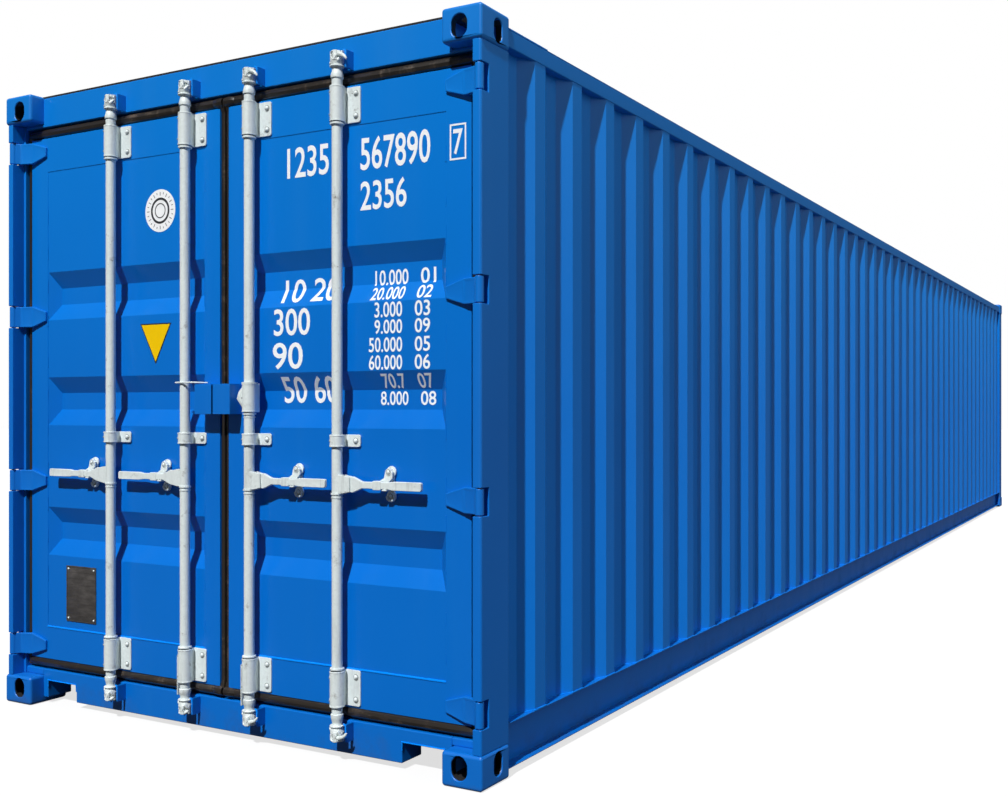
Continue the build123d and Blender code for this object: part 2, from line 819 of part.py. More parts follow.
def locking_bar(bar_y, handle_side):
    """Bar with a cam at each end and the forked hub that carries its handle."""
    rod = revolve(Plane.XZ * make_face(Polyline(*bar_profile(), close=True)), Axis.Z)
    bar = Pos(0, 0, (bar_top + bar_bottom) / 2) * rod
    bar += cam_claws(bar_top - cam_claw_height, bar_top)
    bar += cam_claws(bar_bottom, bar_bottom + cam_claw_height)
    depth = handle_thickness + 2 * (cheek_gap + cheek_thickness)
    block = Pos(0, (hub_inner + hub_plate) / 2, handle_height) * Box(
        depth, hub_plate - hub_inner, hub_height)
    outline = make_face(Polyline(
        (hub_plate - 1, -hub_height / 2), (cheek_end, -cheek_end_height / 2),
        (cheek_end, cheek_end_height / 2), (hub_plate - 1, hub_height / 2), close=True))
    plane = Plane(origin=(-depth / 2, 0, handle_height), x_dir=(0, 1, 0), z_dir=(1, 0, 0))
    fork = extrude(plane * outline, depth, dir=(1, 0, 0))
    slot_width = handle_thickness + 2 * cheek_gap
    slot = Pos(0, (hub_plate + cheek_end) / 2 + 1, handle_height) * Box(
        slot_width, cheek_end - hub_plate + 2, 2 * hub_height)
    pin = Pos(0, handle_pivot, handle_height) * Rot(0, 90, 0) * Cylinder(handle_pin_radius, depth)
    hub = block + (fork - slot) + pin
    if handle_side < 0:
        hub = left_of(hub)
    return Pos(door_end(bar_depth), bar_y, 0) * (bar + hub)


def saddle_from_bar(handle_side):
    """Distance from a bar to the saddle of its handle, beside the catch."""
    if handle_side < 0:
        return catch_from_bar_left + catch_to_saddle
    return catch_from_bar_right - catch_to_saddle


def handle(bar_y, handle_side):
    """Forged handle: a heel in the hub, a tapered root, an arm, a saddle at the catch and a grip."""
    root = handle_root_height / 2
    arm = handle_arm_height / 2
    grip = handle_grip_height / 2
    upper = [
        (handle_pivot, handle_heel_radius), (handle_root_start[0], root), (handle_root_start[1], root),
        (handle_root_end, arm), (handle_grip_start - handle_grip_taper, arm), (handle_grip_start, grip),
        (handle_length - handle_tip_chamfer, grip), (handle_length, grip - handle_tip_chamfer)]
    lower = [(s, -z) for s, z in upper[::-1]]
    outline = make_face(Polyline(*upper, *lower, close=True))
    outline += Pos(handle_pivot, 0) * Circle(handle_heel_radius)
    outline -= Pos(handle_pivot, 0) * Circle(handle_pin_radius + handle_pin_clearance)
    plane = Plane(origin=(-handle_half, 0, handle_height), x_dir=(0, 1, 0), z_dir=(1, 0, 0))
    body = extrude(plane * outline, handle_thickness, dir=(1, 0, 0))
    saddle_place = Pos(0, saddle_from_bar(handle_side), handle_height)
    body += saddle_place * Box(saddle_thickness, saddle_length, saddle_height)
    if handle_side < 0:
        body = left_of(body)
    return Pos(door_end(bar_depth), bar_y, 0) * body


def handle_catch(bar_y, handle_side):
    """Catch on the door: two bolted eyes, a shelf under the handle and an arm behind it."""
    reach = catch_from_bar_left if handle_side < 0 else catch_from_bar_right
    eye_y = bar_y + handle_side * reach
    upper = Pos(eye_y, handle_height + catch_eye_up)
    lower = Pos(eye_y, handle_height - catch_eye_down)
    strap_z = (handle_height - catch_eye_down, handle_height + catch_eye_up)
    outline = upper * Circle(catch_eye_radius) + lower * Circle(catch_eye_radius)
    outline += rectangle_between((eye_y - catch_boss_radius, eye_y + catch_boss_radius), strap_z)
    plate_front = door_recess - catch_plate
    boss_front = plate_front - catch_boss_length
    arm_front = boss_front - catch_arm_thickness
    catch = face_prism(outline, plate_front, door_recess)
    catch += face_prism(upper * Circle(catch_boss_radius), boss_front, plate_front + 1)
    arm = Pos(eye_y, handle_height) * make_face(Polyline(
        (catch_arm_half_width, catch_eye_up), (0, catch_eye_up + catch_arm_half_width),
        (-catch_arm_half_width, catch_eye_up), (-catch_arm_bend, catch_arm_upper),
        (-catch_arm_tip, catch_arm_tip_top), (-catch_arm_tip, catch_arm_tip_bottom),
        (-catch_arm_bend, catch_arm_tip_bottom), (catch_arm_half_width, catch_arm_upper), close=True))
    catch += face_prism(arm, arm_front, boss_front + 1)
    shelf_top = handle_height - handle_arm_height / 2 - catch_clearance
    shelf = rectangle_between(
        (eye_y - catch_shelf_width / 2, eye_y + catch_shelf_width / 2),
        (shelf_top - catch_shelf_thickness, shelf_top))
    return catch + face_prism(shelf, catch_shelf_front, plate_front + 1)


def lock_box_half():
    """Right half of the lock box: a front, a top and an outer side."""
    top = lock_box_bottom + lock_box_height
    outside = rectangle_between((lock_box_gap, lock_box_half_width), (lock_box_bottom, top))
    inside = rectangle_between(
        (lock_box_gap - 1, lock_box_half_width - lock_box_wall), (lock_box_bottom - 1, top - lock_box_wall))
    shell = face_prism(outside, lock_box_front, door_recess)
    return shell - face_prism(inside, lock_box_front + lock_box_wall, door_recess + 1)


casting = corner_casting()
outer_y = outer_bar_from_middle
inner_y = inner_bar_from_middle
right_lock_box = lock_box_half()
right_clamp = bar_guide(inner_y, clamp_guide, plate_side=-1, plate_reach=clamp_plate_reach)
blades = [hinge_blade(height) for height in hinge_heights]
bars = {
    "left_outer": (-outer_y, -1), "left_inner": (-inner_y, -1),
    "right_inner": (inner_y, 1), "right_outer": (outer_y, 1)}
right_post = door_post()
right_front_post = front_post()
right_wall = side_wall()
roof_plate = roof_corner_plate()
right_frame = door_frame()
right_panel = door_panel()
right_seal = door_seal()

nodes = {
    "bottom_corner_castings": four_corners(casting),
    "top_corner_castings": four_corners(upside_down(casting)),
    "right_door_post": [right_post],
    "left_door_post": [left_of(right_post)],
    "right_front_post": [right_front_post],
    "left_front_post": [left_of(right_front_post)],
    "door_header": [door_header()],
    "door_sill": [door_sill()],
    "sill_ends": both_sides(sill_end()),
    "front_top_rail": [front_top_rail()],
    "front_bottom_rail": [front_bottom_rail()],
    "top_side_rails": both_sides(top_side_rail()),
    "bottom_side_rails": both_sides(bottom_side_rail()),
    "right_side_wall": [right_wall],
    "left_side_wall": [left_of(right_wall)],
    "front_wall": [front_wall()],
    "roof": [roof_panel()],
    "roof_corner_plates": both_sides(roof_plate) + both_sides(mirror(roof_plate, about=Plane.YZ)),
    "floor": [floor_deck()],
    "cross_members": cross_member_set(),
    "gooseneck_tunnel": [gooseneck_tunnel()],
    "cam_keepers": keeper_set(),
    "hinge_pins": hinge_pin_set(),
    "right_door_frame": [right_frame],
    "left_door_frame": [left_of(right_frame)],
    "right_door_panel": [right_panel],
    "left_door_panel": [left_of(right_panel)],
    "right_door_seal": [right_seal],
    "left_door_seal": [left_of(right_seal)],
    "right_hinge_blades": blades,
    "left_hinge_blades": [left_of(blade) for blade in blades],
    "right_bar_guides": guide_set(inner_y, outer_y) + [right_clamp],
    "left_bar_guides": guide_set(-inner_y, -outer_y),
    "right_handle_catches": [handle_catch(inner_y, 1), handle_catch(outer_y, 1)],
    "left_handle_catches": [handle_catch(-inner_y, -1), handle_catch(-outer_y, -1)],
    "right_lock_box": [right_lock_box],
    "left_lock_box": [left_of(right_lock_box)],
}
for name, (bar_y, handle_side) in bars.items():
    nodes[name + "_bar"] = [locking_bar(bar_y, handle_side)]
    nodes[name + "_handle"] = [handle(bar_y, handle_side)]

os.makedirs("parts", exist_ok=True)
for name, solids in nodes.items():
    shape = solids[0] if len(solids) == 1 else Compound(children=solids)
    export_step(shape, "parts/" + name + ".step")
    print(name, len(solids))
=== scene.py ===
"""A forty foot steel freight container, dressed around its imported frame."""
import json
from math import cos, pi, radians, sin

import bmesh
import bpy
from mathutils import Matrix, Vector, noise
from mathutils.bvhtree import BVHTree

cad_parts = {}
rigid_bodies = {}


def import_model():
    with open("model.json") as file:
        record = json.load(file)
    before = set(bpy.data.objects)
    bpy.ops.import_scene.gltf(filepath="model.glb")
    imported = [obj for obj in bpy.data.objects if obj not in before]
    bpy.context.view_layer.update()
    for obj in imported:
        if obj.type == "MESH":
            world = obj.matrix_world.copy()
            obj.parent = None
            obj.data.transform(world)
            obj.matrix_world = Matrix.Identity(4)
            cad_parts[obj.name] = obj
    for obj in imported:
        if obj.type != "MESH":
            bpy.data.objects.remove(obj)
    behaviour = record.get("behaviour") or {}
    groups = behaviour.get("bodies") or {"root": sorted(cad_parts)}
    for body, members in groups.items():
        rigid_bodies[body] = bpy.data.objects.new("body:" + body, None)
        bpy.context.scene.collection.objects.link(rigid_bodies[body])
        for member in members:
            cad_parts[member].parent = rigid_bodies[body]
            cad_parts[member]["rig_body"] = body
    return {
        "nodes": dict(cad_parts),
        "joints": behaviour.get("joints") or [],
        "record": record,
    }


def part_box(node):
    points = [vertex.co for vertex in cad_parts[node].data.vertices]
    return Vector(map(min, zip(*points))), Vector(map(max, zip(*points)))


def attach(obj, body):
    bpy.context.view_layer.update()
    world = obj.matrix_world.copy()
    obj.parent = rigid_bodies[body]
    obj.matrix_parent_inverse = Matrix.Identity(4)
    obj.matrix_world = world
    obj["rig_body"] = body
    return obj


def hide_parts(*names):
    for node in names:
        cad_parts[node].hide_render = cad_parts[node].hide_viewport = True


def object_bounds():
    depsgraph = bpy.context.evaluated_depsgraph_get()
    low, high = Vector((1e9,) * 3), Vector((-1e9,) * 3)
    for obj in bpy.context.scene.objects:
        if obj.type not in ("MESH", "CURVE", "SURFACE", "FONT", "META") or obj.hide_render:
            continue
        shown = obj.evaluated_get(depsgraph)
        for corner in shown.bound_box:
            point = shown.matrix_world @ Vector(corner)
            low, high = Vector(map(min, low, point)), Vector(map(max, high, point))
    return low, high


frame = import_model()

bl_info = {
    "name": "Freight Container Dressing",
    "version": (1, 0, 0),
    "blender": (4, 5, 0),
    "location": "View3D > Sidebar > Container",
    "description": "Dresses the packed frame of a freight container",
    "category": "Object",
}

cad_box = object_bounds()

# Where the doors, bars and faces are, read from the frame
bar_joints = {
    joint["child"][:-len("_bar")]: Vector(joint["pos_m"])
    for joint in frame["joints"] if joint["name"].endswith("_bar_turn")}
door_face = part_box("right_door_frame")[1].x
container_top = cad_box[1][2]
slot_of = {part["node"]: part["material_slot"] for part in frame["record"]["subparts"]}


class ContainerSizes(bpy.types.PropertyGroup):
    """Sizes of what is added to the frame."""

    casting_round: bpy.props.FloatProperty(
        name="Casting edges", description="Rounding of the corner castings' outer edges",
        default=0.013, min=0.001, unit="LENGTH")
    hole_round: bpy.props.FloatProperty(
        name="Casting holes", description="Rounding of the rims of the castings' holes",
        default=0.004, min=0.001, unit="LENGTH")
    bead: bpy.props.FloatProperty(
        name="Weld bead", description="Radius of the weld and sealant beads",
        default=0.0026, min=0.0005, unit="LENGTH")
    bolt: bpy.props.FloatProperty(
        name="Bolt head", description="Radius of the bolt heads on the doors",
        default=0.0085, min=0.002, unit="LENGTH")
    lettering_lift: bpy.props.FloatProperty(
        name="Lettering", description="Thickness of the painted figures and film",
        default=0.0005, min=0.0001, unit="LENGTH")


class ContainerColours(bpy.types.PropertyGroup):
    """Colours that a user would change, in scene-linear values."""

    blue: bpy.props.FloatVectorProperty(
        name="Blue", description="Paint of the steelwork", subtype="COLOR", default=(0.0, 0.158, 0.62))
    # The sides' blue is the steelwork blue made lighter: painted light for walls that the sun barely reaches
    side_blue_painted_light: bpy.props.FloatVectorProperty(
        name="Side blue", description="Paint of the ribbed sides", subtype="COLOR",
        default=(0.0, 0.20, 0.76))
    zinc: bpy.props.FloatVectorProperty(
        name="Zinc", description="Coating of the door gear", subtype="COLOR", default=(0.77, 0.84, 0.83))
    rubber: bpy.props.FloatVectorProperty(
        name="Rubber", description="Door seals", subtype="COLOR", default=(0.022, 0.017, 0.013))
    figures: bpy.props.FloatVectorProperty(
        name="Figures", description="Painted figures and film", subtype="COLOR", default=(0.98, 0.99, 1.0))
    yellow: bpy.props.FloatVectorProperty(
        name="Yellow", description="Triangle on the left door", subtype="COLOR", default=(0.95, 0.60, 0.0))
    plate: bpy.props.FloatVectorProperty(
        name="Plate", description="Blank plate on the left door", subtype="COLOR",
        default=(0.085, 0.078, 0.074))
    wood: bpy.props.FloatVectorProperty(
        name="Wood", description="Floor boards", subtype="COLOR", default=(0.30, 0.16, 0.07))


def sizes():
    return bpy.context.scene.container_sizes


def colours():
    return bpy.context.scene.container_colours


class Wire:
    """A shader socket that takes Python's arithmetic, each step a Math node."""

    def __init__(self, tree, socket):
        self.tree = tree
        self.socket = socket

    def joined(self, operation, *values):
        step = self.tree.nodes.new("ShaderNodeMath")
        step.operation = operation
        for slot, value in zip(step.inputs, values):
            if isinstance(value, Wire):
                self.tree.links.new(value.socket, slot)
            else:
                slot.default_value = value
        return Wire(self.tree, step.outputs[0])

    def __add__(self, other):
        return self.joined("ADD", self, other)

    def __sub__(self, other):
        return self.joined("SUBTRACT", self, other)

    def __rsub__(self, other):
        return self.joined("SUBTRACT", other, self)

    def __mul__(self, other):
        return self.joined("MULTIPLY", self, other)

    def __truediv__(self, other):
        return self.joined("DIVIDE", self, other)

    def __rtruediv__(self, other):
        return self.joined("DIVIDE", other, self)

    def above(self, low, high):
        """0 at low and under, 1 at high and over."""
        step = (self - low) / (high - low)
        return step.joined("MINIMUM", step.joined("MAXIMUM", step, 0.0), 1.0)

    __radd__ = __add__
    __rmul__ = __mul__


class Nodes:
    """A node tree whose nodes come from one method."""

    def __init__(self, tree):
        self.tree = tree

    def node(self, kind, settings=None, values=None, output=0):
        """Adds a node, sets its settings, then feeds its inputs with numbers, colours or wires."""
        made = self.tree.nodes.new(kind)
        for key, value in (settings or {}).items():
            setattr(made, key, value)
        for key, value in (values or {}).items():
            if isinstance(value, Wire):
                self.tree.links.new(value.socket, made.inputs[key])
            else:
                made.inputs[key].default_value = value
        return Wire(self.tree, made.outputs[output])

    def rays(self, kind):
        """1 for rays of one kind, such as Camera, else 0."""
        return self.node("ShaderNodeLightPath", output="Is %s Ray" % kind)


class Finish(Nodes):
    """A material on one Principled shader, with patterns in object coordinates."""

    def __init__(self, name, roughness, metallic=0.0, specular=0.5):
        self.material = bpy.data.materials.new(name)
        self.material.use_nodes = True
        super().__init__(self.material.node_tree)
        self.shader = self.tree.nodes["Principled BSDF"]
        for key, value in (
                ("Roughness", roughness), ("Metallic", metallic), ("Specular IOR Level", specular)):
            self.shader.inputs[key].default_value = value
        self.place = self.node("ShaderNodeTexCoord", output="Object")

    def axis(self, letter):
        """One coordinate of the place, in metres."""
        return self.node("ShaderNodeSeparateXYZ", values={0: self.place}, output=letter)

    def grain(self, scale, detail=3.0, stretch=(1, 1, 1), rough=0.5):
        """Cloudy noise from 0 to 1, with its middle near 0.5."""
        place = self.node("ShaderNodeMapping", values={"Vector": self.place, "Scale": stretch})
        return self.node("ShaderNodeTexNoise", values={
            "Vector": place, "Scale": scale, "Detail": detail, "Roughness": rough})

    def mixed(self, factor, first, second):
        """Mixes two colours, each a tuple or a wire."""
        values = {0: factor}
        for key, colour in ((6, first), (7, second)):
            values[key] = colour if isinstance(colour, Wire) else (*colour, 1.0)
        return self.node("ShaderNodeMix", {"data_type": "RGBA"}, values, output=2)

    def feed(self, **wires):
        """Links wires to the shader's sockets, such as base_color or roughness."""
        for key, wire in wires.items():
            self.tree.links.new(wire.socket, self.shader.inputs[key.replace("_", " ").title()])

    def bump(self, height, distance, strength):
        """Relief from a wire of heights, with its distance in metres."""
        self.feed(normal=self.node("ShaderNodeBump", values={
            "Height": height, "Distance": distance, "Strength": strength}))


def tinted(colour, share):
    """A colour made lighter or darker by a share."""
    return tuple(min(1.0, part * share) for part in colour)


PAINT_GLOSS = 0.4
PALER_ABOVE = (0.0, 0.27, 0.83)
DUST = (0.03, 0.24, 0.60)
SOIL = (0.055, 0.045, 0.038)
RUST = (0.19, 0.062, 0.018)
ZINC_RUN = (0.36, 0.38, 0.38)
ZINC_GRIME = (0.22, 0.21, 0.19)
ZINC_SPOT = (0.10, 0.085, 0.07)
RUBBER_SCUFF = (0.15, 0.105, 0.07)
BOARD_JOINT = (0.02, 0.012, 0.008)
BOARD_PITCH = 1.22
BITUMEN = ((0.012, 0.012, 0.013), (0.035, 0.033, 0.032))
STEEL = ((0.20, 0.19, 0.18), (0.42, 0.41, 0.40))
# Black of the printed lines, also used as painted shade on the header's top
FILM_AND_SHADE_BLACK = (0.03, 0.032, 0.036)


def blue_paint(name, colour, roughness=0.28, dirt_height=0.35, wear=1.0, gloss=PAINT_GLOSS):
    """Sprayed paint: faint clouds, paler towards the top, rain streaks, soil near the ground, and a few rusty
    chips.
    """
    paint = Finish(name, roughness, specular=gloss)
    cloud = paint.grain(0.9, 4.0)
    streak = paint.grain(9.0, 3.0, stretch=(1, 1, 0.05))
    fleck = paint.grain(38.0, 5.0, rough=0.65)
    low = 1.0 - paint.axis("Z").above(0.0, dirt_height)
    soil = (low * paint.grain(6.0, 5.0, rough=0.7)).above(0.38, 0.75) * 0.45
    shade = paint.mixed(cloud.above(0.35, 0.7) * 0.35, colour, tinted(colour, 0.86))
    # Paler towards the top
    shade = paint.mixed(paint.axis("Z").above(1.2, container_top) * 0.5, shade, PALER_ABOVE)
    shade = paint.mixed(streak.above(0.52, 0.78) * 0.10 * wear, shade, DUST)
    shade = paint.mixed(soil * wear, shade, SOIL)
    chips = fleck.above(0.74, 0.76) * cloud.above(0.55, 0.6) * wear
    shade = paint.mixed(chips, shade, RUST)
    paint.feed(base_color=shade, roughness=roughness + streak.above(0.4, 0.8) * 0.10 + soil * 0.5)
    orange_peel = paint.grain(260.0, 2.0) * 0.5 + paint.grain(2.6, 2.0) * 12.0
    paint.bump(orange_peel - chips * 0.5, 0.0004, 0.5)
    return paint.material


def zinc_coat(name, colour, grime=1.0):
    """Hot-dip zinc: spangles, runs, and grey grime in patches."""
    zinc = Finish(name, 0.40, metallic=0.08, specular=0.5)
    cells = zinc.node("ShaderNodeTexVoronoi", values={"Vector": zinc.place, "Scale": 110.0}, output="Color")
    spangle = zinc.node("ShaderNodeSeparateColor", values={0: cells})
    patch = zinc.grain(18.0, 5.0, rough=0.7)
    fine = zinc.grain(80.0, 4.0, rough=0.6)
    run = zinc.grain(34.0, 4.0, stretch=(1, 1, 0.10), rough=0.65)
    base = zinc.mixed(spangle * 0.4, tinted(colour, 1.05), tinted(colour, 0.88))
    base = zinc.mixed(run.above(0.54, 0.70) * 0.35 * grime, base, ZINC_RUN)
    base = zinc.mixed(patch.above(0.60, 0.72) * 0.5 * grime, base, ZINC_GRIME)
    base = zinc.mixed((patch * fine).above(0.40, 0.46) * 0.7 * grime, base, ZINC_SPOT)
    zinc.feed(base_color=base, roughness=0.42 + patch * 0.18 + fine * 0.06)
    zinc.bump(fine * 0.6 + patch * 1.5, 0.0006, 0.5)
    return zinc.material


def seal_rubber(name, colour):
    """Weathered rubber with pale brown scuffs along its length."""
    rubber = Finish(name, 0.4, specular=0.6)
    level = rubber.grain(26.0, 5.0, stretch=(0.6, 0.10, 1), rough=0.7)
    upright = rubber.grain(26.0, 5.0, stretch=(0.6, 1, 0.10), rough=0.7)
    fine = rubber.grain(110.0, 4.0)
    scuff = (level * upright).above(0.27, 0.40) * fine.above(0.35, 0.6)
    base = rubber.mixed(scuff * 0.75, colour, RUBBER_SCUFF)
    rubber.feed(base_color=base, roughness=0.34 + scuff * 0.3)
    rubber.bump(fine + scuff * 2.0, 0.0005, 0.4)
    return rubber.material


def painted_film(name, colour):
    """Stencilled figures or film, slightly worn."""
    film = Finish(name, 0.42, specular=0.2)
    wear = film.grain(60.0, 5.0, rough=0.75)
    film.feed(base_color=film.mixed(wear.above(0.45, 0.8) * 0.25, colour, tinted(colour, 0.75)),
              roughness=0.40 + wear * 0.12)
    film.bump(wear, 0.0003, 0.3)
    return film.material


def etched_plate(name, colour):
    """Dark etched metal with a worn grain."""
    plate = Finish(name, 0.42, metallic=0.45)
    grain = plate.grain(45.0, 5.0, stretch=(1, 0.3, 1), rough=0.7)
    spots = plate.grain(120.0, 4.0)
    base = plate.mixed(grain.above(0.4, 0.7) * 0.5, colour, tinted(colour, 2.4))
    plate.feed(base_color=plate.mixed(spots.above(0.6, 0.72) * 0.4, base, tinted(colour, 0.4)),
               roughness=0.35 + grain * 0.25)
    plate.bump(grain, 0.0004, 0.5)
    return plate.material


def floor_boards(name, colour):
    """Sealed plywood sheets with dark joints and scuffs."""
    board = Finish(name, 0.45)
    along = board.axis("X")
    joint = 1.0 - along.joined("PINGPONG", along, BOARD_PITCH / 2).above(0.0, 0.003)
    grain = board.grain(22.0, 5.0, stretch=(1, 0.08, 1), rough=0.65)
    scuff = board.grain(5.0, 5.0, stretch=(0.15, 1, 1), rough=0.7)
    base = board.mixed(grain, tinted(colour, 0.7), tinted(colour, 1.25))
    base = board.mixed(scuff.above(0.5, 0.75) * 0.5, base, tinted(colour, 0.3))
    board.feed(base_color=board.mixed(joint, base, BOARD_JOINT), roughness=0.42 + scuff * 0.3)
    board.bump(grain - joint * 4.0, 0.0008, 0.6)
    return board.material


def black_coating(name):
    """Thick bitumen on the underframe, and the same black as painted shade inside the castings' hollows."""
    coat = Finish(name, 0.5)
    lump = coat.grain(24.0, 5.0, rough=0.7)
    coat.feed(base_color=coat.mixed(lump, *BITUMEN),
              roughness=0.35 + lump * 0.35)
    coat.bump(lump, 0.002, 0.6)
    return coat.material


def plain_steel(name):
    """Greased steel of the hinge pins."""
    steel = Finish(name, 0.35, metallic=0.9)
    film = steel.grain(80.0, 4.0)
    steel.feed(base_color=steel.mixed(film, *STEEL),
               roughness=0.28 + film * 0.2)
    steel.bump(film, 0.0002, 0.4)
    return steel.material


FINISHES = {
    "blue_paint": lambda: blue_paint("steelwork_blue", colours().blue, 0.34, gloss=0.5),
    "door_paint": lambda: blue_paint("door_blue", colours().blue, dirt_height=0.3, wear=0.7),
    # Painted highlight: the blue made lighter for the beads and lips that would catch the light
    "painted_highlight": lambda: blue_paint("lighter_blue_highlight", tinted(colours().blue, 1.7), 0.2),
    # The sides and roof take the lighter copy of the blue, painted light
    "side_paint": lambda: blue_paint("side_blue_painted_light", colours().side_blue_painted_light, 0.36),
    "roof_paint": lambda: blue_paint("roof_blue", colours().side_blue_painted_light, 0.5),
    "casting_paint": lambda: blue_paint("casting_blue", colours().blue, 0.38, 0.14, 1.4, 0.6),
    "galvanised": lambda: zinc_coat("galvanised_gear", colours().zinc),
    # Zinc darkened to under half, with more grime: painted shade round bolt heads and in the cams' eyes
    "zinc_grime_and_shade": lambda: zinc_coat("zinc_grime_and_shade", tinted(colours().zinc, 0.45), 1.3),
    # Black painted into the castings' hollows as shade
    "castings_painted_shade": lambda: black_coating("castings_painted_shade"),
    "bare_steel": lambda: plain_steel("greased_steel"),
    "seal_rubber": lambda: seal_rubber("seal_black", colours().rubber),
    "floor_board": lambda: floor_boards("plywood", colours().wood),
    "underframe_coating": lambda: black_coating("bitumen_black"),
    "figures": lambda: painted_film("painted_figures", colours().figures),
    "yellow_film": lambda: painted_film("yellow_film", colours().yellow),
    # Dark print, and painted shade on the header's top
    "dark_film_and_shade": lambda: painted_film("dark_film_and_shade", FILM_AND_SHADE_BLACK),
    "etched_plate": lambda: etched_plate("etched_plate", colours().plate),
}
made_finishes = {}


def finish_for(key):
    """A finish's material, made the first time that it's asked for."""
    if key not in made_finishes:
        made_finishes[key] = FINISHES[key]()
    return made_finishes[key]


def body_of(node):
    """The moving or still body that a CAD node belongs to."""
    return frame["nodes"][node]["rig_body"]


def nearest_bar(y):
    """Where the locking bar nearest to a place across the doors turns."""
    return min(bar_joints.values(), key=lambda joint: abs(joint.y - y))


def smooth(mesh):
    """Smooth shading that keeps the creases."""
    for face in mesh.polygons:
        face.use_smooth = True
    mesh.set_sharp_from_angle(angle=radians(35))


def added(name, shape, body, finish, weighted=False):
    """Makes a finished bmesh a piece that rides on a body."""
    mesh = bpy.data.meshes.new(name)
    shape.to_mesh(mesh)
    shape.free()
    piece = bpy.data.objects.new(name, mesh)
    bpy.context.scene.collection.objects.link(piece)
    mesh.materials.append(finish_for(finish))
    smooth(mesh)
    if weighted:
        piece.modifiers.new("even_normals", "WEIGHTED_NORMAL").keep_sharp = True
    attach(piece, body)
    return piece


def merged(node):
    """A CAD node's mesh as joined faces without needless edges."""
    shape = bmesh.new()
    shape.from_mesh(frame["nodes"][node].data)
    bmesh.ops.remove_doubles(shape, verts=shape.verts, dist=1e-5)
    bmesh.ops.dissolve_limit(
        shape, angle_limit=radians(1), use_dissolve_boundaries=False,
        verts=shape.verts, edges=shape.edges)
    return shape


def rounded(shape, edges, width, segments=2):
    """Rounds edges in place."""
    bmesh.ops.bevel(
        shape, geom=edges, offset=width, offset_type="OFFSET", segments=segments, profile=0.5,
        affect="EDGES", clamp_overlap=False, material=-1)


def creased(shape, least):
    """Edges whose two faces meet at more than an angle in degrees."""
    return [
        edge for edge in shape.edges
        if len(edge.link_faces) == 2 and radians(least) < edge.calc_face_angle() < pi]


def stands_for(node, shape):
    """Puts a finished shape in place of a CAD node."""
    piece = added("finished_" + node, shape, body_of(node), slot_of[node], weighted=True)
    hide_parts(node)
    return piece


def dressed(node, width, segments=2, least=40.0):
    """Puts a copy with rounded edges in place of a CAD node."""
    shape = merged(node)
    rounded(shape, creased(shape, least), width, segments)
    stands_for(node, shape)


def repaint(node):
    """Gives a CAD node its finish, with its mesh as it is."""
    part = frame["nodes"][node]
    part.data.materials.clear()
    part.data.materials.append(finish_for(slot_of[node]))


def solids_of(node):
    """Lowest and highest corner of each separate solid of a CAD node, in a fixed order."""
    shape = merged(node)
    left = {vert.index for vert in shape.verts}
    shape.verts.ensure_lookup_table()
    found = []
    while left:
        start = min(left)
        left.discard(start)
        group, waiting = [], [shape.verts[start]]
        while waiting:
            vert = waiting.pop()
            group.append(vert.co.copy())
            for edge in vert.link_edges:
                other = edge.other_vert(vert)
                if other.index in left:
                    left.discard(other.index)
                    waiting.append(other)
        low = Vector(min(point[axis] for point in group) for axis in range(3))
        high = Vector(max(point[axis] for point in group) for axis in range(3))
        found.append((low, high))
    shape.free()
    return found


def domed(shape, centre, radius, height):
    """A domed bolt or rivet head that faces +X."""
    head = Matrix.Translation(centre) @ Matrix.Diagonal((height / radius, 1, 1, 1))
    bmesh.ops.create_uvsphere(shape, u_segments=14, v_segments=8, radius=radius, matrix=head)


def washer(shape, centre, radius, depth):
    """A thin disc that faces +X."""
    turn = Matrix.Rotation(pi / 2, 4, "Y")
    bmesh.ops.create_cone(
        shape, cap_ends=True, segments=18, radius1=radius, radius2=radius * 0.95,
        depth=depth, matrix=Matrix.Translation(centre) @ turn)


def meshed(curve):
    """A curve or text as a mesh."""
    holder = bpy.data.objects.new("outline", curve)
    bpy.context.scene.collection.objects.link(holder)
    bpy.context.view_layer.update()
    mesh = bpy.data.meshes.new_from_object(holder.evaluated_get(bpy.context.evaluated_depsgraph_get()))
    bpy.data.objects.remove(holder)
    return mesh


def tube(shape, path, closed=False, facets=3):
    """Adds a round bar along (place, radius) pairs."""
    curve = bpy.data.curves.new("bar", "CURVE")
    curve.dimensions = "3D"
    curve.bevel_depth = 1.0
    curve.bevel_resolution = facets
    curve.use_fill_caps = not closed
    line = curve.splines.new("POLY")
    line.points.add(len(path) - 1)
    for point, (place, radius) in zip(line.points, path):
        point.co = (*place, 1.0)
        point.radius = radius
    line.use_cyclic_u = closed
    mesh = meshed(curve)
    shape.from_mesh(mesh)
    bpy.data.meshes.remove(mesh)


def bend_path(start, corner, end, radii, steps=6):
    """Places and radii round a soft bend from one run to the next."""
    path = []
    for step in range(steps + 1):
        share = step / steps
        place = start.lerp(corner, share).lerp(corner.lerp(end, share), share)
        path.append((place, radii[0] + (radii[1] - radii[0]) * share))
    return path


def turned(shape, centre, outline, steps=28):
    """Spins an outline of (radius, height) points about a vertical axis."""
    centre = Vector(centre)
    verts = [shape.verts.new(centre + Vector((radius, 0, height))) for radius, height in outline]
    edges = [shape.edges.new((first, last)) for first, last in zip(verts, verts[1:])]
    if outline[0][0] > 1e-6:
        edges.append(shape.edges.new((verts[-1], verts[0])))
    bmesh.ops.spin(
        shape, geom=verts + edges, cent=centre, axis=(0, 0, 1), angle=2 * pi, steps=steps,
        use_merge=True)


def ring_round(shape, centre, inside, radius, height, ease=0.0):
    """A ring about a vertical axis, with its outer edges eased."""
    outline = [(inside, 0.0), (radius, 0.0), (radius, height), (inside, height)]
    if ease:
        outline[1:3] = [
            (radius - ease, 0.0), (radius, ease), (radius, height - ease), (radius - ease, height)]
    turned(shape, centre, outline)


